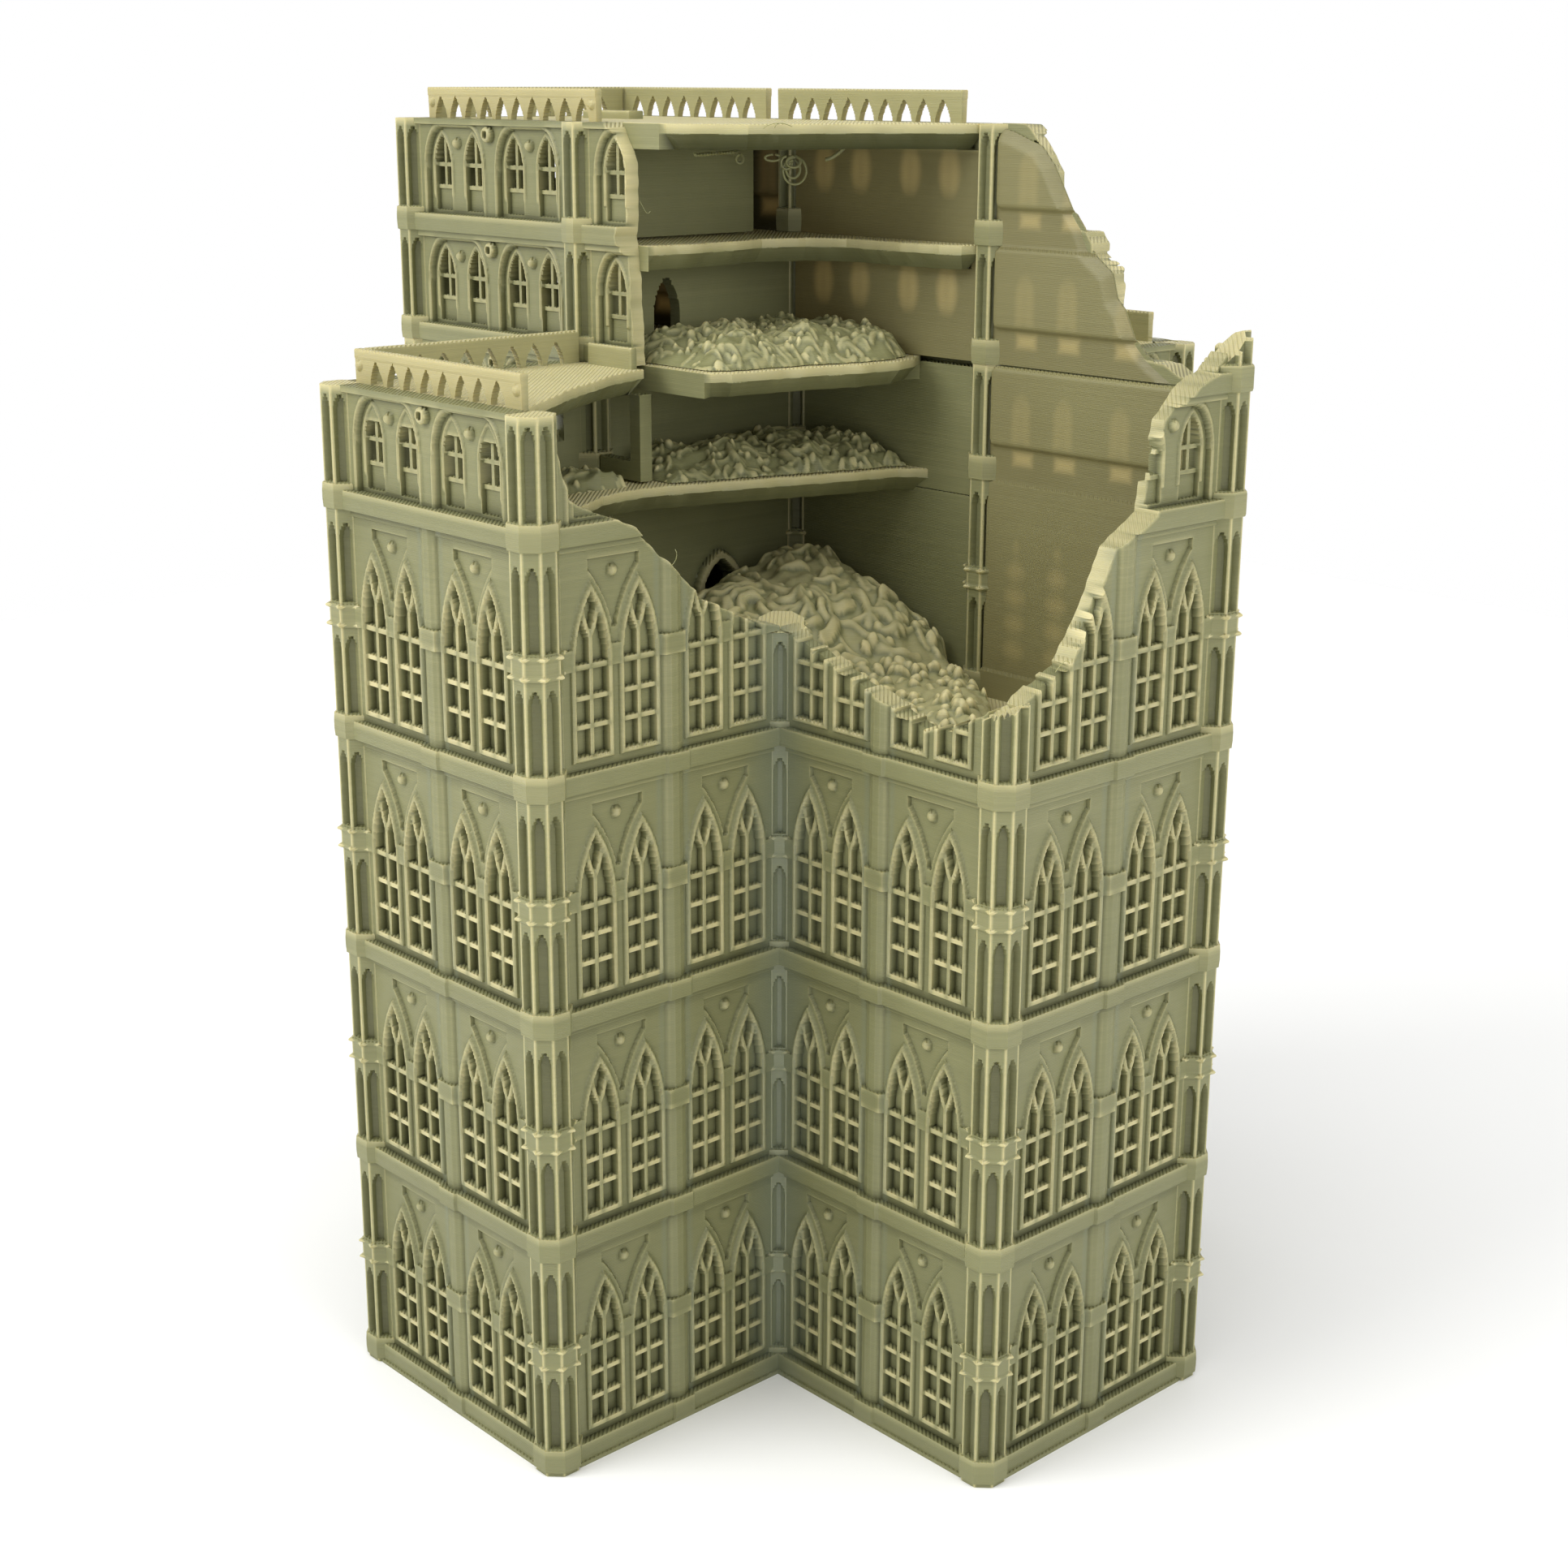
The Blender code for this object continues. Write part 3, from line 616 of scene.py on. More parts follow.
def short_relief(u, z):
    """Front offset of one short storey, z above its floor."""
    out = np.full_like(u, FACE)
    arch = niche(u, z)
    light = short_light(u, z)
    out = np.where(np.abs(arch - 0.3) < 0.3 + LAP, FACE + 0.24 * (1 - ridge(arch, 0.3) ** 3), out)
    out = np.where(arch < -LAP, FACE - NICHE_DEPTH, out)
    hooded = (arch < -0.3) & (light > -LAP) & (z > SHORT_SPRING - 4)
    hood = FACE - NICHE_DEPTH + 0.22 * (1 - ridge(light, 0.28) ** 3)
    out = np.where(hooded, hood, out)
    boss = np.hypot(np.abs(np.abs(u) - SHORT_BAY), z - SHORT_BOSS_HEIGHT) / BOSS_RADIUS
    out = np.where(boss < 1, FACE - NICHE_DEPTH + 0.8 * dome(boss), out)
    out = np.where(z > SHORT - CORNICE, FACE + 0.55, out)
    eye = np.hypot(u, z - EYE_HEIGHT)
    pupil, crest, rim = EYE_RINGS
    out = np.where(eye < rim, FACE + 0.85 - 0.25 * np.clip((eye - crest) / (rim - crest), 0, 1), out)
    out = np.where(eye < pupil, FACE, out)
    out = bands(out, u, z, 0.0)
    inside = (light <= -LAP) & (z > BAND_TOP)
    depth = np.where(z < SHORT_BARS[0][0], APRON_DEPTH, PANE_DEPTH)
    out = np.where(inside, FACE - depth, out)
    return np.where(inside & (short_bar(u, z) < ON_BAR), FACE - BAR_DEPTH, out)


HANDS = (-1, 1)


def bay_edges(bay, offsets, panel_half):
    """Where the relief of a bay changes: round its two lights, and at its panel's sides."""
    lights = [bay + hand * LIGHT_PITCH + way * o for hand in HANDS for o in offsets for way in HANDS]
    return lights + [bay + hand * panel_half for hand in HANDS]


TALL_EDGES_U = [0.7, 1.43, 1.7]
TALL_EDGES_U += bay_edges(TALL_BAY, (0.0, TALL_HALF, TALL_HALF + FRAME_WIDTH, MULLION), SPANDREL_HALF)
SHORT_EDGES_U = [1.7, *EYE_RINGS] + bay_edges(SHORT_BAY, (SHORT_HALF, MULLION), NICHE_HALF)
TALL_EDGES_Z = [BAND_TOP, TALL_SILL - FRAME_WIDTH, TALL_SILL, *SPRING_BAND, SPANDREL_TOP,
                TALL - LINTEL, *(edge for bar in BARS for edge in bar)]
SHORT_EDGES_Z = [BAND_TOP, SHORT_SILL, SHORT - CORNICE, *(edge for bar in SHORT_BARS for edge in bar),
                 *(EYE_HEIGHT + hand * ring for hand in HANDS for ring in EYE_RINGS)]


def both_ways(edges):
    """The same edges on both sides of a wall's middle."""
    return sorted({round(hand * edge, 4) for edge in edges for hand in HANDS})


def wall_lines(floors, low, high, step, broken):
    """A wall's grid lines along and up, closer in the arches and where it may be broken."""
    edges_u = both_ways(TALL_EDGES_U + SHORT_EDGES_U)
    if not any(tall for _, tall in floors):
        edges_u = both_ways(SHORT_EDGES_U)
    edges_z = []
    dense = []
    for floor, tall in floors:
        edges_z += [floor + edge for edge in (TALL_EDGES_Z if tall else SHORT_EDGES_Z)]
        edges_z.append(floor)
        if tall:
            dense.append((floor + 14.3, floor + 25.5, step))
        else:
            dense.append((floor + SHORT_SPRING, floor + 13.3, step))
    if broken:
        dense.append((BREAK_FOOT, 200.0, step))
    return (grid_lines(-WALL_REACH, WALL_REACH, step, edges_u),
            grid_lines(low, high, 0.8, edges_z, dense))


def storey_rows(lines_z, floors):
    """The floor's height under each grid row, and whether its storey is a tall one."""
    row_floor = np.zeros(len(lines_z))
    row_tall = np.zeros(len(lines_z), bool)
    for floor, tall in floors:
        here = lines_z >= floor - 1e-6
        row_floor[here] = floor
        row_tall[here] = tall
    return row_floor, row_tall


def snap_arches(u, local, tall_of, reach):
    """Move grid points on to the arches and splays, local being the height over the floor."""
    arch_zone = tall_of & (local > TALL_SPRING)
    snapped = [(tall_light, arch_zone), (lambda a, b: tall_light(a, b) - FRAME_WIDTH, arch_zone),
               (splay, tall_of & (local > SPLAY[0][1]) & (local < SPLAY[-1][1])),
               (spandrel, tall_of & (local > 18.0) & (local < SPANDREL_TOP - 0.1)),
               (short_light, ~tall_of & (local > SHORT_SPRING)),
               (niche, ~tall_of & (local > NICHE_KNEE))]
    for field, zone in snapped:
        if zone.any():
            u, local = snap(u, local, field, reach, zone & (np.abs(u) < WALL_REACH - 0.3))
    return u, local


def wall_front(name, side, floors, low, high, body, outline=None, step=0.21, bevel=0.0,
               head=SHORT):
    """A whole wall: tall storeys blind, short storeys pierced, cut by a ruin outline.

    floors lists (height, is_tall); outline is a field, negative where the wall stands;
    head is the height over its floor where a short storey's open panes stop.
    """
    lines_u, lines_z = wall_lines(floors, low, high, step, outline is not None)
    u, z, _ = grid_of(lines_u, lines_z)
    row_floor, row_tall = storey_rows(lines_z, floors)
    floor_of = np.broadcast_to(row_floor, z.shape)
    tall_of = np.broadcast_to(row_tall, z.shape)
    u, local = snap_arches(u, z - floor_of, tall_of, step * 0.48)
    z = local + floor_of
    mid_u, mid_z = cell_middles(u, z)
    mid_local = mid_z - floor_of[:-1, :-1]
    keep = tall_of[:-1, :-1] | ~short_hole(mid_u, mid_local) | (mid_local > head)
    rear, rear_tint = None, None
    if outline is not None:
        torn = jagged(outline)
        standing = torn(mid_u, mid_z) < 0
        keep &= standing
        u, z = pull_rim(u, z, torn, standing, 0.3, True)
        away, slope_u, slope_z = gradient(outline, u, z)
        lean = bevel * falling(-away, 2.5)
        rear = (u + lean * slope_u, z + lean * slope_z)
    local = z - floor_of
    front = np.where(tall_of, tall_relief(u, local), short_relief(u, local))
    above_head = ~tall_of & (local > head) & (front < FACE - NICHE_DEPTH)
    front = np.where(above_head, FACE - NICHE_DEPTH, front)
    # Painted highlight and shade from the relief, and a painted highlight along the string course's
    # top edge.
    tint = relief_tint(front)
    top_edge = falling(BAND_TOP - local, 0.3)
    tint = np.where((local > -0.01) & (local <= BAND_TOP), 0.26 * top_edge, tint)
    # Painted cool shade in the nooks along the seams beside the tall storeys' mid pilaster.
    seam = falling(np.abs(np.abs(u) - 2.0), 0.6) * tall_of * (local > BAND_TOP)
    if outline is not None:
        brink = falling(-away, 0.25)
        front = front - 0.1 * brink ** 2
        # Painted highlight along the break's rim and on the broken top faces behind it.
        tint = tint + 0.25 * brink
        rear_tint = 0.3 * brink
    below = lines_z < floors[0][0]
    front[:, below] = FACE + BAND + 0.15
    tint[:, below] = 0.05
    back = np.full_like(u, INNER)
    pane = ~tall_of & (short_light(u, local) < 0.02) & (local > BAND_TOP)
    back = np.where(pane & (short_bar(u, local) <= 1.3), BAR_BACK, back)
    full = ~row_tall[:-1]
    if outline is not None:
        full = full | (lines_z[:-1] > BREAK_FOOT)
    made = grid_solid(name + "_relief", side, u, z, front, back, keep, WALL, full, rear=rear,
                      tint=tint, cool=0.55 * seam, rear_tint=rear_tint)
    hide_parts(name)
    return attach(made, body)


def jagged(outline):
    """The same break with small chips, and with the thin panes broken lower than their bars."""
    def chipped(u, z):
        local = z - HALL
        between = np.abs(off_light(u, TALL_BAY)) > MULLION
        thin = (tall_light(u, local) < -LAP) & between & (local < BARS[-1][1])
        ripple = np.sin(u * 2.6 + 1.3 * np.sin(z * 1.1)) + 0.6 * np.sin(z * 3.4 + 0.8 * u)
        return outline(u, z) + 0.06 * ripple + 0.4 * thin
    return chipped


def break_line(points, lower):
    """Signed distance to a polyline, negative on the side that lower says is kept."""
    def field(u, z):
        near = np.full(np.shape(u), 99.0)
        for start, end in zip(points, points[1:]):
            near = np.minimum(near, sd_segment(u, z, start, end))
        return np.where(lower(u, z), -near, near)
    return field


def below_line(points):
    """A field that is negative under a polyline given as (along, height)."""
    us, zs = np.array(sorted(points)).T
    return break_line(points, lambda u, z: z < np.interp(u, us, zs))


def left_of_line(points):
    """A field that is negative on the low side of a polyline given as (height, along)."""
    zs, us = np.array(sorted(points)).T
    turned = [(u, z) for z, u in points]
    return break_line(turned, lambda u, z: u < np.interp(z, zs, us))


def rim_of(keep):
    """Grid points that touch both a kept and a dropped cell."""
    n, m = keep.shape
    kept = np.zeros((n + 1, m + 1), bool)
    gone = np.zeros((n + 1, m + 1), bool)
    for i in (0, 1):
        for j in (0, 1):
            kept[i:n + i, j:m + j] |= keep
            gone[i:n + i, j:m + j] |= ~keep
    return kept & gone


def pull_rim(u, z, field, keep, limit, evened):
    """Move the points on a break's rim on to the field's zero line, in three short moves.

    evened divides the field by its slope, as a field with chips isn't a true distance.
    """
    rim = rim_of(keep)
    for _ in range(3):
        away, slope_u, slope_z = gradient(field, u, z)
        if evened:
            away = away / np.maximum(slope_u ** 2 + slope_z ** 2, 0.3)
        move = np.where(rim, np.clip(away, -limit, limit), 0.0)
        u, z = u - move * slope_u, z - move * slope_z
    return u, z


# ---------------------------------------------------------------- walls

COMPASS = {"south": (0, -1), "east": (1, 0), "north": (0, 1), "west": (-1, 0)}
LOWER_FLOORS = [(FOOTING + TALL * n, True) for n in range(4)] + [(GALLERY, False)]
TOWER_FLOORS = [(SPLIT, False), (UPPER, False)]


# Break profiles in mm, as (along, height); the stub's is (height, along).
SOUTH_BREAK = [
    (-16.5, 124.0), (-15.9, 122.3), (-14.2, 115.4), (-13.0, 113.2), (-5.4, 109.7), (4.9, 100.3),
    (12.1, 96.7), (16.5, 95.6),
]
EAST_SIDE_BREAK = [
    (-16.5, 95.9), (-14.1, 94.8), (-2.8, 90.9), (7.3, 87.9), (13.8, 90.3), (16.5, 92.0),
]
EAST_END_BREAK = [
    (-16.5, 91.6), (-15.3, 92.9), (-8.9, 95.8), (-5.2, 100.6), (-1.7, 107.4), (3.9, 110.4),
    (4.6, 115.2), (6.3, 120.3), (10.3, 123.9), (13.7, 125.0), (16.5, 127.2),
]
RETURN_BREAK = [
    (-16.5, 150.9), (-12.3, 150.7), (-11.5, 150.0), (-9.0, 147.3), (-7.6, 145.4), (-7.5, 141.4),
    (-6.0, 140.4), (-5.5, 139.0), (-2.7, 138.9), (-1.8, 137.5), (-1.7, 136.5), (1.4, 134.4),
    (1.5, 131.0), (2.8, 129.0), (3.3, 127.0), (5.3, 125.9), (7.0, 125.0), (9.4, 124.8),
    (11.8, 123.6), (16.5, 122.9),
]
LINING_BREAK = [
    (-16.1, 150.3), (-13.9, 149.8), (-9.6, 148.3), (-7.6, 146.2), (-4.7, 141.4), (-3.0, 139.4),
    (-1.8, 137.0), (1.7, 134.5), (2.5, 131.8), (3.7, 130.6), (5.3, 127.4), (7.0, 125.7),
    (9.5, 124.1), (11.8, 122.9), (15.1, 122.6),
]
STUB_BREAK = [
    (122.0, -8.1), (127.4, -8.3), (135.9, -8.8), (137.8, -9.3), (139.6, -8.9), (146.2, -8.9),
    (147.6, -9.7), (148.9, -10.5), (150.8, -11.6),
]


def mirrored(points):
    """A break profile as seen from the wall's other side."""
    return [(-a, z) for a, z in points]


def build_walls():
    """Every outer wall, three to each wing below, and the tower's own above the split."""
    breaks = {
        "south_wing_east_wall": below_line(SOUTH_BREAK),
        "east_wing_south_wall": below_line(EAST_SIDE_BREAK),
        "east_wing_end_wall": below_line(EAST_END_BREAK),
    }
    for wing, (nx, ny) in COMPASS.items():
        for facing, (sx, sy) in list(COMPASS.items()) + [("end", (nx, ny))]:
            name = f"{wing}_wing_{facing}_wall"
            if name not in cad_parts:
                continue
            if facing == "end":
                spot = (nx * ARM_END, ny * ARM_END)
            else:
                spot = ((nx * 2 + sx) * HALF_WING, (ny * 2 + sy) * HALF_WING)
            side = Side(spot, (sx, sy))
            seen = wing in ("south", "east") and facing in ("south", "east", "end")
            high = SPLIT + 4.6 if name == "east_wing_end_wall" else SPLIT
            floors = LOWER_FLOORS + ([(SPLIT, False)] if high > SPLIT else [])
            head = 10.3 if name == "south_wing_end_wall" else SHORT
            wall_front(name, side, floors, 0.0, high, "base_block", breaks.get(name),
                       0.21 if seen else 0.25, 0.12, head)
    tower = {
        "tower_south_wall": ((-2 * HALF_WING, -HALF_WING), (0, -1), None),
        "tower_end_wall": ((-ARM_END, 0), (-1, 0), None),
        "tower_north_wall": ((-2 * HALF_WING, HALF_WING), (0, 1), None),
        "crossing_north_wall": ((0, HALF_WING), (0, 1), None),
        "crossing_south_wall": ((0, -HALF_WING), (0, -1), left_of_line(STUB_BREAK)),
        "east_return_wall": ((2 * HALF_WING, HALF_WING), (0, 1), below_line(mirrored(RETURN_BREAK))),
    }
    for name, (spot, outward, outline) in tower.items():
        wall_front(name, Side(spot, outward), TOWER_FLOORS, SPLIT + 0.02, ROOF, "upper_tower",
                   outline, 0.2, 0.1)


# ---------------------------------------------------------------- pillars

SHAFT = 2.5
RING = 0.3
RING_TOP = 2.95
RIB = 0.3
PANEL_DEPTH = 0.75
COLLAR = (13.3, 16.05)
COLLAR_PROUD = 0.14
BEADS = (13.3, 15.45)
BEAD_HEIGHT = 0.62
# Painted highlight on a pillar's top and broken top.
BROKEN_TOP = 0.4


def pillar_depth(s, z, half, floors):
    """Offset of a pillar's facet from the shaft, across s and up z."""
    out = np.zeros_like(s)
    for floor, tall in floors:
        h = z - floor
        panels = [(3.1, 12.2), (16.3, 25.4)] if tall else [(3.1, 12.9)]
        for low, high in panels:
            shape = sd_lancet(s, h, half - RIB, low, high - 1.5, 1.5)
            out = np.where((shape < -LAP) & (h > low) & (h < high), -PANEL_DEPTH, out)
        edge = 0.12 * falling(np.minimum(h, RING_TOP - h), 0.2) ** 2
        out = np.where((h >= -0.01) & (h <= RING_TOP), RING - edge, out)
        if tall:
            out = np.where((h > COLLAR[0]) & (h < COLLAR[1]), COLLAR_PROUD, out)
            corner = np.clip(np.abs(s) / half - 0.45, 0, 1) * 0.6
            for low in BEADS:
                bead = falling((h - low - 0.3) ** 2, 0.32 ** 2)
                proud = COLLAR_PROUD + (0.12 + corner) * bead
                out = np.where((h > low) & (h < low + BEAD_HEIGHT), proud, out)
    return out


def pillar_tint(s, z, half, floors, depth):
    """Painted highlights on the ribs, ring edges and beads, painted shade in the sunk panels, and
    rings no paler than the walls.
    """
    tint = np.clip(depth * 0.2, -0.15, 0.05)
    tint = tint + np.where(depth > -0.1, 0.38 * falling(half - np.abs(s), RIB), 0)
    for floor, tall in floors:
        h = z - floor
        top_edge = falling(RING_TOP - h, 0.3)
        tint = np.where((h > -0.01) & (h <= RING_TOP), 0.05 + 0.24 * top_edge, tint)
        if tall:
            bead = (depth > 0.28) & (h > 13.0) & (h < 16.3)
            tint = np.where(bead, 0.4, tint)
    return tint


def without_flat_cells(quads):
    """Four-sided and three-sided faces, from cells whose ends may have shrunk to a point."""
    left = quads[:, 0] == quads[:, 3]
    right = quads[:, 1] == quads[:, 2]
    sharp = quads[left != right]
    at_left = left[left != right]
    three = np.where(at_left[:, None], sharp[:, [0, 1, 2]], sharp[:, [0, 1, 3]])
    return quads[~left & ~right], three


def build_pillar(name, node_name, floors, low, high, body, cut=None):
    """An octagonal pillar with sunk panels, rings and beaded collars."""
    centre = middle(node_name)
    half = SHAFT * math.tan(math.pi / 8)
    columns = [-half, -half + RIB - 0.04, -half + RIB + 0.04, -half + RIB + 0.22, -0.3, 0.0, 0.3,
               half - RIB - 0.22, half - RIB - 0.04, half - RIB + 0.04]
    edges = []
    dense = []
    for floor, tall in floors:
        edges += [floor, floor + RING_TOP]
        if tall:
            beads = [low + way for low in BEADS for way in (0.0, BEAD_HEIGHT)]
            edges += [floor + h for h in (3.1, *beads, 16.3)]
            dense += [(floor + 10.6, floor + 12.3, 0.2), (floor + 23.8, floor + 25.5, 0.2),
                      (floor + 13.3, floor + 16.1, 0.15)]
        else:
            edges.append(floor + 3.1)
            dense.append((floor + 11.3, floor + 13.0, 0.2))
    if cut is not None:
        dense.append((88.0, 200.0, 0.3))
    rows = grid_lines(low, high, 1.2, edges, dense)
    facet = np.repeat(np.arange(8), len(columns))
    s = np.tile(columns, 8)
    turn = facet * math.pi / 4
    normal = np.stack([np.cos(turn), np.sin(turn)], -1)
    tangent = np.stack([-np.sin(turn), np.cos(turn)], -1)
    s_grid, z_grid = np.meshgrid(s, rows, indexing="ij")
    flat = normal * SHAFT + tangent * s[:, None]
    if cut is not None:
        limit = cut(flat[:, 0], flat[:, 1])[:, None]
        z_grid = np.minimum(z_grid, limit)
    depth = pillar_depth(s_grid, z_grid, half, floors)
    grow = (SHAFT + depth) / SHAFT
    n, m = s_grid.shape
    points = np.empty((n, m, 3))
    points[..., 0] = centre[0] + flat[:, None, 0] * grow
    points[..., 1] = centre[1] + flat[:, None, 1] * grow
    points[..., 2] = z_grid
    ids = np.arange(n * m).reshape(n, m)
    if cut is not None:
        spent = z_grid >= limit - 1e-9
        ids = np.where(spent, ids[:, -1:], ids)
    beside = np.roll(ids, -1, axis=0)
    quads, three = without_flat_cells(
        np.stack([ids[:, :-1], beside[:, :-1], beside[:, 1:], ids[:, 1:]], -1).reshape(-1, 4))
    top = ids[:, -1]
    bottom = ids[::-1, 0]
    relief = pillar_tint(s_grid, z_grid, half, floors, depth)
    relief[:, -1] = BROKEN_TOP
    if cut is not None:
        relief = np.where(spent, BROKEN_TOP, relief)
    made = make_mesh(name, points.reshape(-1, 3), [quads, three, top[None, :], bottom[None, :]],
                     TRIM, relief.ravel(), smooth=40.0)
    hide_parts(node_name)
    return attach(made, body)


def build_pillars():
    """Every pillar and the hall's column; three of them are cut off by a sloping break."""
    names = [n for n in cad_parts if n.endswith("_pillar") or n.endswith("_column")]
    for node_name in sorted(names):
        upper = node_name.startswith("tower_")
        floors, low, high = LOWER_FLOORS, 0.0, SPLIT
        cut = None
        if upper:
            floors, low, high = TOWER_FLOORS, SPLIT + 0.02, ROOF
        elif node_name == "east_wing_right_pillar":
            high = 95.0

            def cut(px, py):
                return 91.9 + 0.22 * px + 0.15 * py + 0.3 * np.sin(7.0 * px + 3.0 * py)
        elif node_name == "southeast_crossing_pillar":
            high = 97.5

            def cut(px, py):
                return 95.7 + 0.2 * (py - px)
        elif node_name == "east_wing_left_pillar":
            floors = LOWER_FLOORS + [(SPLIT, False)]
            high = 131.0

            def cut(px, py):
                return 127.2 + 0.72 * py + 0.2 * px
        build_pillar(node_name + "_shaft", node_name, floors, low, high,
                     "upper_tower" if upper else "base_block", cut)


# ---------------------------------------------------------------- broken floor plates

def boundary_edges(node_name):
    """Directed outline edges of a node's top face, however its face is divided."""
    mesh = bpy.data.objects[node_name].data
    spots = np.array([v.co for v in mesh.vertices]) / MM
    top = spots[:, 2].max()
    seen = set()
    for face in mesh.polygons:
        ring = list(face.vertices)
        if face.normal.z > 0.9 and all(spots[i][2] > top - 0.01 for i in ring):
            for i, j in zip(ring, ring[1:] + ring[:1]):
                pair = tuple(np.round(spots[i][:2], 3)), tuple(np.round(spots[j][:2], 3))
                seen.add(pair)
    rim = {start: end for start, end in seen if (end, start) not in seen}
    start = min(rim)
    ring = [start]
    while rim[ring[-1]] != start:
        ring.append(rim[ring[-1]])
    return np.array([[float(v) for v in spot] for spot in ring]), top


def divided(ring, pitch):
    """The same closed outline with points no further apart than pitch."""
    made = []
    for a, b in zip(ring, np.roll(ring, -1, axis=0)):
        count = max(1, int(math.ceil(np.hypot(*(b - a)) / pitch)))
        made.extend(a + (b - a) * i / count for i in range(count))
    return np.array(made)


def outward_normals(ring):
    """Mean outward normal at each point of an anticlockwise outline."""
    run = np.roll(ring, -1, axis=0) - ring
    edge = np.stack([run[:, 1], -run[:, 0]], -1)
    edge /= np.maximum(np.hypot(edge[:, 0], edge[:, 1]), 1e-9)[:, None]
    both = edge + np.roll(edge, 1, axis=0)
    return both / np.maximum(np.hypot(both[:, 0], both[:, 1]), 0.6)[:, None]


CHIPS = 0.06
SEAM_LAP = 0.4
# Painted highlight on a slab's top rim and lip.
LIP_TINT = 0.42
COLUMN_CLEAR = 7.0


def build_plate(node_name, body, broken, shade=0.08):
    """A floor slab whose broken edge has a lip with a painted highlight over a sloping underside with
    painted shade.

    broken(x, y) is True where the outline is a break and not against a wall, and shade
    is how much darker than the wall the underside is painted, as painted shade.
    """
    ring, top = boundary_edges(node_name)
    ring = divided(ring, 0.7)
    away = outward_normals(ring)
    torn = broken(ring[:, 0], ring[:, 1]).astype(float)
    x, y = ring.T
    wobble = np.sin(x * 1.9 + y * 1.1) + 0.7 * np.sin(x * 0.7 - y * 2.3)
    step = np.round(np.sin(x * 0.55 + y * 0.8) * 1.2) * 0.15
    reach = HALF_WING - ring
    column = np.hypot(*reach.T)
    drawn = 0.35 * np.clip((COLUMN_CLEAR - column) / 2.0, 0, 1) * torn
    ring = ring + reach * drawn[:, None]
    layers = ((0.0, 0.0, LIP_TINT), (-0.1, 0.1, 0.38), (-1.1, 0.1, 0.14),
              (-1.2, 0.0, -0.04 - shade), (-2.95, -1.5, -0.2 - shade))
    points = []
    relief = []
    for index, (drop, out, tint) in enumerate(layers):
        ragged = CHIPS * wobble * torn * (1.0 if index < 3 else 2.0) + step * torn * (index < 3)
        shift = np.where(torn > 0, out, SEAM_LAP) + ragged
        row = np.column_stack([ring + away * shift[:, None], np.full(len(ring), top + drop)])
        points.append(row)
        relief.append(np.where(torn > 0, tint, LIP_TINT if index == 0 else 0.0))
    count = len(ring)
    here = np.arange(count)
    beside = (here + 1) % count
    sides = []
    for level in range(len(layers) - 1):
        upper, lower = level * count, (level + 1) * count
        sides.append(np.stack([here + upper, here + lower, beside + lower, beside + upper], -1))
    cap = here[None, :]
    base = here[None, ::-1] + (len(layers) - 1) * count
    made = make_mesh(node_name + "_slab", np.concatenate(points), [cap, base] + sides, DECK,
                     np.concatenate(relief), smooth=24.0)
    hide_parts(node_name)
    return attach(made, body)


def build_plates():
    """Every floor, deck and roof, each with the part of its outline that is broken."""
    edge = HALF_WING - 1.6

    def diagonal(x, y):
        return (x > -edge + 0.5) & (y > -edge - 40) & (np.abs(x) < 34) & (y < edge + 4)

    def terrace_break(x, y):
        return (x > -edge + 2.0) & (y > -ARM_END + 2.5) & (y < -HALF_WING + 1.0)

    def tower_break(x, y):
        return (x > -HALF_WING + 4) & (y > -edge + 0.4) & (y < edge - 0.4) & (x < edge - 0.2)

    def whole(x, y):
        return np.zeros(len(x), bool)
    build_plate("hall_floor", "base_block", whole)
    build_plate("gallery_floor", "base_block", lambda x, y: diagonal(x, y) & (x > -15.5) & (x < 15.5))
    build_plate("south_terrace", "base_block", terrace_break)
    build_plate("north_roof", "base_block", whole)
    build_plate("tower_lower_floor", "upper_tower", tower_break)
    build_plate("tower_upper_floor", "upper_tower", tower_break)
    build_plate("tower_roof", "upper_tower", tower_break, 0.3)


# ---------------------------------------------------------------- parapet rails

SLOT_PITCH = 3.25
SLOT_HALF = 1.3
SLOT_HEIGHT = 2.75


def slot_field(u, z):
    """Signed distance, nearly, to a rail's row of openings, wide below and pointed above."""
    w = np.abs((u + SLOT_PITCH / 2) % SLOT_PITCH - SLOT_PITCH / 2)
    share = np.clip(z / SLOT_HEIGHT, 0, 1)
    half = SLOT_HALF * (1 - share ** 1.6)
    return np.maximum((w - half) * 0.9, z - SLOT_HEIGHT)


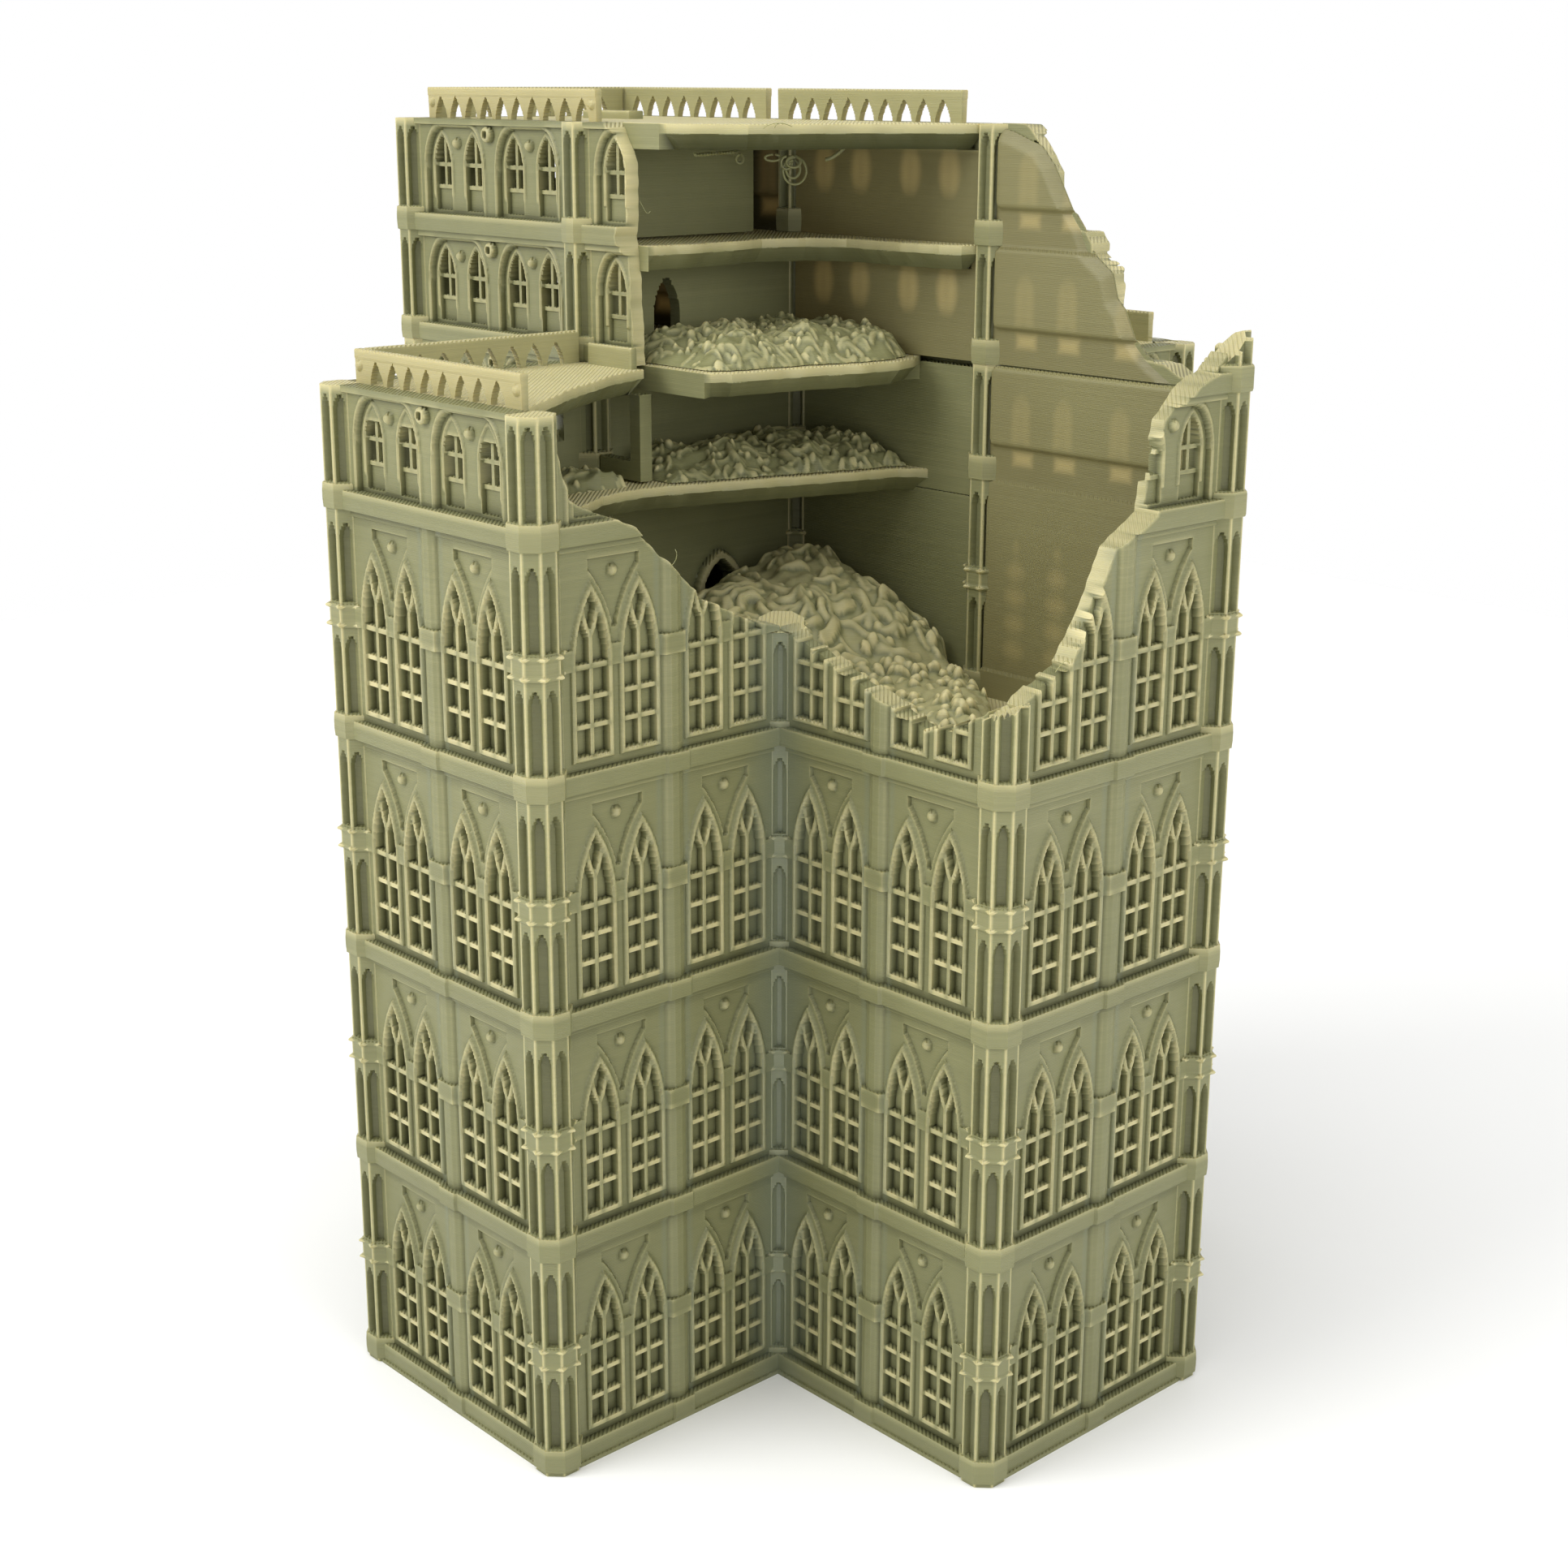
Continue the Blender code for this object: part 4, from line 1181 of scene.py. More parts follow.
def build_rail(node_name, body):
    """A parapet: funnel-shaped balusters under a bar, with a boss outside each end post."""
    low, high = box_mm(node_name)
    centre = (low + high) / 2
    length = max(high[0] - low[0], high[1] - low[1])
    lengthwise_x = high[0] - low[0] > high[1] - low[1]
    if lengthwise_x:
        outward = (0, -1 if centre[1] < 0 else 1)
    else:
        outward = (-1 if centre[0] < 0 else 1, 0)
    side = Side(centre[:2], outward)
    height = high[2] - low[2]
    half = length / 2
    count = int((length - 2.0) / SLOT_PITCH)
    span = count * SLOT_PITCH / 2
    phase = SLOT_PITCH / 2 if count % 2 == 0 else 0.0
    edges = [hand * spot for spot in (half - 0.08, span) for hand in HANDS]
    u, z, _ = grid_of(grid_lines(-half, half, 0.15, edges),
                      grid_lines(0.0, height, 0.15, [height - 1.0, height - 0.1]))

    def field(a, b):
        outside = np.abs(a) - span
        return np.maximum(slot_field(a - phase, b), outside)
    u, z = snap(u, z, field, 0.075, (z > 0.05) & (z < height - 0.3) & (np.abs(u) < span))
    round_off = 0.12 * falling(height - z, 0.15)
    plain = 0.42 + 0.08 * np.clip(z / height, 0, 1)
    rear = round_off - plain
    front = plain + 0.06 * (z > height - 1.0)
    for hand in HANDS:
        boss = np.hypot(u - hand * (half - 0.8), z - 2.0) / 0.6
        front = np.where(boss < 1, 0.5 + 0.35 * dome(boss), front)
    front = front - round_off
    keep = field(*cell_middles(u, z)) > 0
    wobble = 0.05 * np.sin(u * 0.9 + centre[0]) * z / height
    # Painted light: the rails are paler all over with a painted highlight along the top, painted shade
    # on the back, and a painted amber glow.
    tint = 0.2 + 0.14 * falling(height - z, 0.4)
    made = grid_solid(node_name + "_bars", side, u, z + low[2] - 0.3, front + wobble, rear + wobble,
                      keep, TRIM, glow=np.full_like(u, 0.3), tint=tint, rear_tint=tint - 0.06)
    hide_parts(node_name)
    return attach(made, body)


# ---------------------------------------------------------------- inner walls

DOOR_FRAME = 1.35


def build_partition(node_name, body, door=None, opening=None, frame_proud=0.0, low_z=None,
                    high_z=None):
    """An inner wall with a pointed doorway or a square opening, plain but for its frame.

    door is (along, half width, sill, spring, rise); opening is a field that is negative in it.
    """
    low, high = box_mm(node_name)
    low[2] = low[2] if low_z is None else low_z
    high[2] = high[2] if high_z is None else high_z
    centre = (low + high) / 2
    across_x = high[0] - low[0] < high[1] - low[1]
    outward = (1, 0) if across_x else (0, -1)
    side = Side(centre[:2], outward)
    half = max(high[0] - low[0], high[1] - low[1]) / 2
    half += 0.9 if half > HALF_WING - 4.0 else 0.0
    thick = min(high[0] - low[0], high[1] - low[1]) / 2
    u, z, keep = grid_of(grid_lines(-half, half, 0.3, []),
                         grid_lines(low[2], high[2], 0.3, [low[2] + 0.3]))
    front = np.full_like(u, thick)
    if door is not None:
        along, half_width, sill, spring, rise = door

        def opening(a, b):
            return sd_lancet(a - along, b, half_width, sill, spring, rise)
    if opening is not None:
        within = (np.abs(u) < half - 0.2) & (z > low[2] + 0.2) & (z < high[2] - 0.2)
        u, z = snap(u, z, opening, 0.16, within)
        keep = opening(*cell_middles(u, z)) > 0
        if frame_proud:
            away = opening(u, z)
            proud = frame_proud * (1 - ridge(away, DOOR_FRAME / 2) ** 6)
            front = np.where(away < DOOR_FRAME, front + proud, front)
    made = grid_solid(node_name + "_face", side, u, z, front, np.full_like(u, -thick), keep, WALL)
    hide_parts(node_name)
    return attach(made, body)


def build_partitions():
    """The inner walls; the hall's north one and the gallery's meet at a thin seam."""
    hall_door = (2.5, 2.9, HALL + 0.4, HALL + 9.0, 4.7)
    build_partition("hall_west_partition", "base_block", hall_door, frame_proud=0.9)
    seam = GALLERY - 2.5
    build_partition("hall_north_partition", "base_block", high_z=seam - 0.06)
    build_partition("gallery_west_partition", "base_block")
    build_partition("gallery_north_partition", "base_block", low_z=seam + 0.06, high_z=SPLIT - 0.7)
    slab = middle("gallery_south_partition")

    def stub_opening(u, z):
        across = np.abs(u + slab[0] + 11.6) - 3.0
        return np.maximum(across, GALLERY + 2.6 - z)
    build_partition("gallery_south_partition", "base_block", opening=stub_opening)
    tower_door = (-5.7, 2.1, SPLIT + 0.9, SPLIT + 4.9, 4.5)
    build_partition("lower_tower_partition", "upper_tower", tower_door)
    build_partition("upper_tower_partition", "upper_tower")


# ---------------------------------------------------------------- inner faces with painted light behind

def shine_of(away, blur):
    """1 inside a lit patch and 0 outside, across a blurred edge, from its signed distance."""
    return 1 / (1 + np.exp(np.clip(away / blur, -30, 30)))


def tall_shine(u, z):
    """Soft light through a tall light, weaker at its bars."""
    lights = sd_lancet(off_light(u, TALL_BAY), z, TALL_HALF - 0.3, TALL_SILL, TALL_SPRING,
                       TALL_RISE - 1.0)
    bars = 0.8 + 0.2 * np.cos(z * 2 * math.pi / 3.3)
    return 0.4 * shine_of(lights, 0.6) * bars


def two_panes(w):
    """A short light's shine dips a little at its mullion, w being measured from there."""
    return 0.93 - 0.07 * np.cos(w * 2 * math.pi / 1.9)


def short_shine(u, z):
    """Soft light through the panel, and a brighter patch in the thin strip below it."""
    w = off_light(u, SHORT_BAY)
    lights = sd_lancet(w, z, 1.9, SHORT_SILL + 1.9, SHORT_SPRING, SHORT_RISE - 0.6)
    patch = np.maximum(np.abs(w) - 1.6, np.abs(z - 3.1) - 0.9)
    soft = 0.34 * shine_of(lights, 0.4) * two_panes(w)
    return np.where(z < PANEL_LOW, 0.62 * shine_of(patch, 0.3), soft)


def blurred_shine(u, z):
    """The same lights through a thicker wall, with no sharp edge."""
    w = off_light(u, SHORT_BAY)
    near = np.hypot(w / 2.1, (z - 8.2) / 3.2)
    return 0.6 * np.exp(-near ** 4) * two_panes(w)


PANEL_LOW = 4.4
PANEL_HIGH = 13.8
PANEL_PROUD = 0.55
THIN = 0.4


def panel_field(u, z, left, right):
    """Signed distance to a storey's raised inner panel, with rounded corners."""
    middle_u, half = (left + right) / 2, (right - left) / 2
    middle_z, half_z = (PANEL_LOW + PANEL_HIGH) / 2, (PANEL_HIGH - PANEL_LOW) / 2
    corner = 0.7
    du = np.abs(u - middle_u) - half + corner
    dz = np.abs(z - middle_z) - half_z + corner
    return np.hypot(np.maximum(du, 0), np.maximum(dz, 0)) + np.minimum(np.maximum(du, dz), 0) - corner


def build_lining(name, body, centre, storeys, low, high, panels, outline=None, shift=0.0,
                 dim=0.2, haze=0.17):
    """A wall's inner face as its own skin, with painted light from behind where the windows are.

    dim darkens it all over as painted shade, and haze is painted light that comes through everywhere.
    """
    side = Side(centre, (0, -1))
    reach = HALF_WING - 1.3
    marks = [floor + edge for floor, tall in storeys if panels and not tall
             for edge in (PANEL_LOW, PANEL_HIGH)]
    u, z, keep = grid_of(grid_lines(-reach, reach, 0.3, []),
                         grid_lines(low, high, 0.3, marks + [GALLERY + 0.2]))
    front = np.full_like(u, -INNER + THIN)
    glow = np.zeros_like(u)
    for floor, tall in storeys:
        storey = TALL if tall else SHORT
        here = (z >= floor) & (z < floor + storey)
        local = z - floor
        moved = u - shift
        if tall:
            glow = np.where(here, tall_shine(moved, local), glow)
            thick = (z < GALLERY + 0.2) & here
            front = np.where(thick, -INNER + THIN + 0.35 + 0.5 * (local < 3.4), front)
        else:
            lit = short_shine if panels else blurred_shine
            glow = np.where(here, lit(moved, local), glow)
            if panels:
                field = panel_field(u, local, 0.2 - reach, reach + 3.0)
                proud = PANEL_PROUD * np.clip(0.5 - field / 0.3, 0, 1)
                front = np.where(here, front + proud, front)
    if outline is not None:
        keep = outline(*cell_middles(u, z)) < 0
        u, z = pull_rim(u, z, outline, keep, 0.35, False)
        front = front - 0.7 * falling(-outline(u, z), 1.4)
    # Painted shade in the panels' recesses and all over, a painted highlight along the top edge, and
    # painted light from the windows.
    tint = np.clip((front + INNER - THIN - PANEL_PROUD) * 0.12, -0.1, 0.02) - dim
    tint = tint + 0.3 * falling(high - z, 0.35)
    glow = np.maximum(glow, haze)
    made = grid_solid(name, side, u, z, front, np.full_like(u, -INNER - 0.02), keep, WALL,
                      glow=glow, tint=tint)
    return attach(made, body)


def build_linings():
    wing = (2 * HALF_WING, HALF_WING)
    crossing = (0, HALF_WING)
    tower = (-2 * HALF_WING, HALF_WING)
    build_lining("east_wing_lining", "base_block", wing, [(HALL, True), (GALLERY, False)], HALL,
                 SPLIT - 0.1, True)
    build_lining("east_return_lining", "upper_tower", wing, TOWER_FLOORS, SPLIT + 0.1,
                 ROOF - 0.1, True, below_line(LINING_BREAK))
    build_lining("crossing_lining", "upper_tower", crossing, TOWER_FLOORS, SPLIT + 0.1,
                 ROOF - 3.1, False)
    build_lining("tower_north_lining", "upper_tower", tower, TOWER_FLOORS, SPLIT + 0.1,
                 ROOF - 3.1, True, shift=3.2, dim=0.45, haze=0.02)


# ---------------------------------------------------------------- rubble

STRAND_STEP = 0.16
HALL_STEP = 0.19
HEAP_STEP = 0.8
CURL_PACE = 0.16


def heap_of(node_name, slope=0.0):
    """The CAD heap's upper surface on a coarse grid, with its box.

    With a slope, the sides towards +X and -Y thin out over that length.
    """
    target = bpy.data.objects[node_name]
    low, high = box_mm(node_name)
    tree = BVHTree.FromObject(target, bpy.context.evaluated_depsgraph_get())
    xs = np.arange(low[0] - 1.0, high[0] + 1.0, HEAP_STEP)
    ys = np.arange(low[1] - 1.0, high[1] + 1.0, HEAP_STEP)
    rough = np.full((len(xs), len(ys)), low[2] - 0.4)
    for i, x in enumerate(xs):
        for j, y in enumerate(ys):
            hit = tree.ray_cast(Vector((x, y, high[2] + 5.0)) * MM, Vector((0, 0, -1)))
            if hit[0] is not None:
                rough[i, j] = hit[0].z / MM
    if slope:
        heaped = rough > low[2]
        brink_x = np.where(heaped, xs[:, None], low[0]).max(0)
        brink_y = np.where(heaped, ys[None, :], high[1]).min(1)
        inward = np.minimum(brink_x[None, :] - xs[:, None], ys[None, :] - brink_y[:, None])
        thinned = np.clip((inward + HEAP_STEP) / slope, 0.12, 1) ** 0.8
        rough = np.where(heaped, low[2] + (rough - low[2]) * thinned, rough)
    return rough, xs, ys, low, high


def low_heap(low, high, depth):
    """A shallow heap, fading out at the sides of a box."""
    xs = np.arange(low[0], high[0] + 0.4, HEAP_STEP)
    ys = np.arange(low[1], high[1] + 0.4, HEAP_STEP)
    x, y = np.meshgrid(xs, ys, indexing="ij")
    edge = np.minimum(np.minimum(x - low[0], high[0] - x), np.minimum(y - low[1], high[1] - y))
    swell = 0.75 + 0.25 * np.sin(x * 0.7) * np.cos(y * 0.6)
    rough = low[2] + depth * np.clip(edge / 1.4, 0, 1) * swell
    return rough, xs, ys, np.array(low), np.array(high)


def build_rubble(name, body, heap, strands, lumps, lift=0.0, pale=0.0, step=STRAND_STEP):
    """A heap of curled strands and chunks, laid over a smooth heap.

    strands lists (count, low radius, high radius, longest, zone) and lumps lists
    (count, low radius, high radius, steepness, zone), zone(x, y) saying where they lie.
    lift raises the heap's thick part, pale lightens it, and step is its mesh's fineness.
    """
    rough, xs, ys, low, high = heap
    fine_x = np.arange(xs[0], xs[-1] - 0.01, step)
    fine_y = np.arange(ys[0], ys[-1] - 0.01, step)
    base = resampled(rough, xs, ys, fine_x, fine_y)
    x, y = np.meshgrid(fine_x, fine_y, indexing="ij")
    inside = base > low[2] + 0.05
    bumps = np.zeros_like(base)
    for lay, batches in ((curl, strands), (chunk, lumps)):
        for count, small, large, shape, zone in batches:
            for _ in range(count):
                spot = rng.uniform(low[:2], high[:2])
                if zone(*spot):
                    lay(bumps, fine_x, fine_y, spot, rng.uniform(small, large), shape)
    fade = np.clip((base - low[2]) / 1.5, 0, 1)
    coarse = 0.35 * np.sin(x * 0.5 + 1.3 * np.sin(y * 0.4)) + 0.3 * np.sin(y * 0.62 + x * 0.3)
    coarse = coarse + 0.3 * np.sin(x * 1.5 + y * 0.9) * np.sin(y * 1.3 - x * 0.6)
    heaped = np.clip((base - low[2]) / 5.0, 0, 1)
    top = base - 0.3 + fade * (bumps + coarse + lift * heaped)
    cells = (inside[:-1, :-1] & inside[1:, 1:] & inside[1:, :-1] & inside[:-1, 1:])
    quads = shell_quads(top.shape, cells, cells)
    points = np.concatenate([np.stack([x, y, top], -1).reshape(-1, 3),
                             np.stack([x, y, np.full_like(x, low[2] - 0.2)], -1).reshape(-1, 3)])
    # Painted highlights on the strands and chunks and painted shade between them.
    relief = np.concatenate([(relief_tint(bumps * 1.2) + pale).ravel(), np.zeros(top.size)])
    made = make_mesh(name, points, quads, RUBBLE, relief, smooth=60.0)
    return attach(made, body)


def resampled(values, xs, ys, fine_x, fine_y):
    """Bilinear values on a finer grid."""
    i = np.clip((fine_x - xs[0]) / (xs[1] - xs[0]), 0, len(xs) - 1.001)
    j = np.clip((fine_y - ys[0]) / (ys[1] - ys[0]), 0, len(ys) - 1.001)
    i0, j0 = i.astype(int), j.astype(int)
    fi, fj = (i - i0)[:, None], (j - j0)[None, :]
    a = values[np.ix_(i0, j0)]
    b = values[np.ix_(i0 + 1, j0)]
    c = values[np.ix_(i0, j0 + 1)]
    d = values[np.ix_(i0 + 1, j0 + 1)]
    return (a * (1 - fi) + b * fi) * (1 - fj) + (c * (1 - fi) + d * fi) * fj


def stamp(bumps, fine_x, fine_y, x, y, radius, lift, raised=0.0):
    """Raise a domed spot of the height field, itself raised on a steep foot."""
    step = fine_x[1] - fine_x[0]
    span = int(2 * radius / step) + 3
    i0 = max(int((x - radius - fine_x[0]) / step), 0)
    j0 = max(int((y - radius - fine_y[0]) / step), 0)
    i1, j1 = min(i0 + span, len(fine_x)), min(j0 + span, len(fine_y))
    if i1 <= i0 or j1 <= j0:
        return
    dx = (fine_x[i0:i1] - x)[:, None]
    dy = (fine_y[j0:j1] - y)[None, :]
    dome = np.sqrt(np.maximum(radius ** 2 - dx ** 2 - dy ** 2, 0)) * lift
    dome = np.where(dome > 0, dome + raised, 0)
    region = bumps[i0:i1, j0:j1]
    np.maximum(region, dome, out=region)


def curl(bumps, fine_x, fine_y, spot, radius, longest):
    """One curled strand: an arc of round filament half sunk in the heap."""
    x, y = spot
    heading = rng.uniform(0, 2 * math.pi)
    bend = rng.uniform(-0.75, 0.75)
    lift = rng.uniform(0.8, 1.3)
    raised = rng.uniform(0.0, 0.7) * radius
    count = int(rng.uniform(0.3, 1.0) * longest / CURL_PACE)
    for index in range(count):
        swell = 0.6 + 0.4 * math.sin(math.pi * (index + 0.5) / count)
        stamp(bumps, fine_x, fine_y, x, y, radius, lift * swell, raised * swell)
        heading += bend * CURL_PACE
        x += CURL_PACE * math.cos(heading)
        y += CURL_PACE * math.sin(heading)


def chunk(bumps, fine_x, fine_y, spot, radius, steep):
    """One lump: three overlapping domes."""
    x, y = spot
    raised = rng.uniform(0.0, 0.8) * radius
    for _ in range(3):
        stamp(bumps, fine_x, fine_y, x, y, radius, steep, raised)
        x += rng.uniform(-0.5, 0.5) * radius
        y += rng.uniform(-0.5, 0.5) * radius
        radius *= 0.8


def build_heaps():
    """The three CAD heaps, and a shallow one in the south room."""
    def anywhere(x, y):
        return True

    def uphill(x, y):
        return x < 13.0

    def downhill(x, y):
        return x > 9.0
    hall = [(190, 0.42, 0.66, 7.0, uphill), (90, 0.3, 0.42, 4.0, uphill),
            (90, 0.3, 0.45, 2.5, downhill)]
    pebbles = [(60, 0.3, 0.5, 1.0, uphill), (430, 0.42, 0.75, 1.1, downhill)]
    build_rubble("hall_strands", "base_block", heap_of("hall_rubble"), hall, pebbles, 2.6, 0.16,
                 HALL_STEP)
    worms = [(260, 0.24, 0.42, 4.0, anywhere)]
    spikes = [(150, 0.25, 0.6, 1.1, anywhere), (60, 0.22, 0.34, 2.0, anywhere)]
    build_rubble("gallery_strands", "base_block", heap_of("gallery_rubble", 6.0), worms, spikes)
    build_rubble("tower_strands", "upper_tower", heap_of("tower_rubble", 6.0), worms, spikes, 0.3)
    for piece, node_name in (("hall", "hall_rubble"), ("gallery", "gallery_rubble"),
                             ("tower", "tower_rubble")):
        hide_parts(node_name)
    corner = ARM_END - 4.5
    room = low_heap((-15.2, -corner, GALLERY), (-6.4, -HALF_WING - 2.6, GALLERY + 3.0), 2.0)
    build_rubble("south_room_strands", "base_block", room, [(40, 0.28, 0.44, 3.0, anywhere)],
                 [(60, 0.25, 0.5, 1.0, anywhere)])


# ---------------------------------------------------------------- kerbs and stray filament

def build_kerb(name, start, end, low, high, thick, body):
    """A low upstand with rounded arrises, from start to end along X."""
    side = Side(((start[0] + end[0]) / 2, start[1]), (0, -1))
    half = (end[0] - start[0]) / 2
    u, z, keep = grid_of(grid_lines(-half, half, 0.4, [half - 0.15, 0.15 - half]),
                         grid_lines(low, high, 0.3, [high - 0.15]))
    inset = 0.1 * falling(high - z, 0.15) + 0.1 * falling(half - np.abs(u), 0.15)
    wave = 0.03 * np.sin(u * 1.7 + z)
    # Painted light: the kerb is paler all over, with a painted highlight along its top.
    tint = 0.1 + 0.2 * falling(high - z, 0.3)
    made = grid_solid(name, side, u, z, thick / 2 - inset + wave, inset - thick / 2 + wave, keep,
                      TRIM, tint=tint)
    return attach(made, body)


def build_strand(name, spots, radius, body):
    """A thin round filament through a few points, in mm."""
    curve = bpy.data.curves.new(name, "CURVE")
    curve.dimensions = "3D"
    curve.bevel_depth = radius * MM
    curve.bevel_resolution = 2
    curve.resolution_u = 6
    curve.use_fill_caps = True
    line = curve.splines.new("NURBS")
    line.points.add(len(spots) - 1)
    line.order_u = 4
    line.use_endpoint_u = True
    for point, spot in zip(line.points, spots):
        point.co = (*(v * MM for v in spot), 1.0)
    made = bpy.data.objects.new(name, curve)
    bpy.context.scene.collection.objects.link(made)
    shaped = bpy.data.meshes.new_from_object(made.evaluated_get(bpy.context.evaluated_depsgraph_get()))
    bpy.data.objects.remove(made)
    solid = bpy.data.objects.new(name, shaped)
    shaped.materials.clear()
    shaped.materials.append(STRING)
    shaped.shade_smooth()
    bpy.context.scene.collection.objects.link(solid)
    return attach(solid, body)


# Each curl's middle, its half width and half depth, and its filament's radius.
ROOF_CURLS = (
    (-9.0, 9.0, 144.7, 1.5, 1.7, 0.16),
    (-9.2, 8.9, 144.9, 0.9, 1.1, 0.17),
    (-8.8, 8.6, 145.8, 0.9, 0.7, 0.17),
    (-9.4, 8.0, 145.7, 0.7, 0.8, 0.16),
    (-10.4, 6.6, 146.3, 1.0, 0.4, 0.15),
    (-14.0, 4.3, 146.1, 0.45, 0.55, 0.17),
)


def build_loops():
    """Filament that sagged from under the roof slab: curls, a ring and a beaded edge."""
    diagonal = math.sqrt(0.5)
    for index, (x, y, z, wide, deep, thick) in enumerate(ROOF_CURLS):
        spots = []
        for step in range(13):
            turn = 0.3 + step * 0.5
            across = wide * math.sin(turn) * diagonal
            drift = 0.06 * step
            spots.append((x + across + drift, y + across - drift, z + deep * math.cos(turn)))
        build_strand(f"roof_curl_{index}", spots, thick, "upper_tower")
    start, end = Vector((-6.0, -10.0, 0)), Vector((-13.2, 3.2, 0))
    spots = []
    for step in range(31):
        spot = start.lerp(end, step / 30)
        spots.append((spot.x, spot.y, ROOF - 3.5 - 0.4 * (step % 2)))
    build_strand("roof_beads", spots, 0.17, "upper_tower")
    tail = [(-3.4, 12.0, ROOF - 3.2), (-4.2, 11.2, ROOF - 4.4), (-5.0, 10.4, ROOF - 4.6)]
    build_strand("roof_tail", tail, 0.24, "upper_tower")


HAIR_RADIUS = 0.045


def build_hairs():
    """Fine wisps of filament that the printer left along the breaks."""
    wing_end = ARM_END + FACE
    base_hairs = [
        [(22.3, 40.0, 124.6), (25.0, 40.0, 124.7), (27.8, 40.0, 124.5)],
        [(wing_end, -8.8, 95.9), (wing_end + 0.4, -9.8, 97.0), (wing_end, -11.1, 95.3)],
        [(18.6, -35.6, 104.4), (18.8, -34.4, 104.9), (18.9, -34.0, 105.7), (18.8, -34.4, 106.5)],
        [(18.7, -24.6, 99.6), (19.2, -24.0, 100.2), (18.8, -23.2, 99.8)],
    ]
    tower_hairs = [
        [(-9.0, -16.0, 141.8), (-8.8, -15.4, 140.9), (-9.0, -15.0, 139.9), (-8.7, -14.6, 140.6)],
        [(-8.2, -18.2, 126.2), (-7.7, -18.5, 125.3), (-8.0, -18.2, 124.4)],
        [(4.6, -8.6, 150.2), (5.4, -8.4, 150.9), (6.0, -7.0, 151.0), (6.2, -5.6, 150.4)],
        [(5.2, -7.4, 150.3), (5.8, -7.6, 151.2), (6.6, -6.2, 150.5)],
    ]
    hairs = [("base_block", spots) for spots in base_hairs]
    hairs += [("upper_tower", spots) for spots in tower_hairs]
    for index, (body, spots) in enumerate(hairs):
        build_strand(f"hair_{index}", spots, HAIR_RADIUS, body)


build_walls()
build_pillars()
build_plates()
for rail in ("terrace_front_rail", "terrace_side_rail", "north_roof_end_rail", "north_roof_side_rail"):
    build_rail(rail, "base_block")
for rail in ("tower_south_rail", "tower_end_rail", "tower_north_rail", "crossing_north_rail"):
    build_rail(rail, "upper_tower")
build_partitions()
build_linings()
build_heaps()
build_kerb("terrace_kerb", (-13.8, -20.0), (-5.6, -20.0), SPLIT, SPLIT + 2.5, 1.0, "base_block")
build_kerb("roof_kerb", (-38.5, 0.0), (-29.0, 0.0), ROOF, ROOF + 1.0, 2.5, "upper_tower")
build_loops()
build_hairs()


# ---------------------------------------------------------------- camera, light and table

CAMERA_SPOT = (215.0, -199.4, 156.0)
CAMERA_AZIMUTH = 47.27
CAMERA_ELEVATION = 16.55
CAMERA_ROLL = 0.198
CAMERA_LENS = 54.70
TABLE_HALF = 0.45
TABLE_COLOUR = (0.95, 0.95, 0.94, 1.0)
ROOM_LEVEL = 0.34
AIM = (0.0, 0.0, 0.08)

# Name, kind, place in metres, size in metres or spread in radians, and power.
LAMPS = (
    ("key", "AREA", (-0.25, -0.80, 0.65), 0.55, 6.0),
    ("fill", "AREA", (0.85, 0.05, 0.45), 0.6, 2.6),
    ("overhead", "SUN", (0.05, -0.12, 0.95), 1.2, 1.7),
)


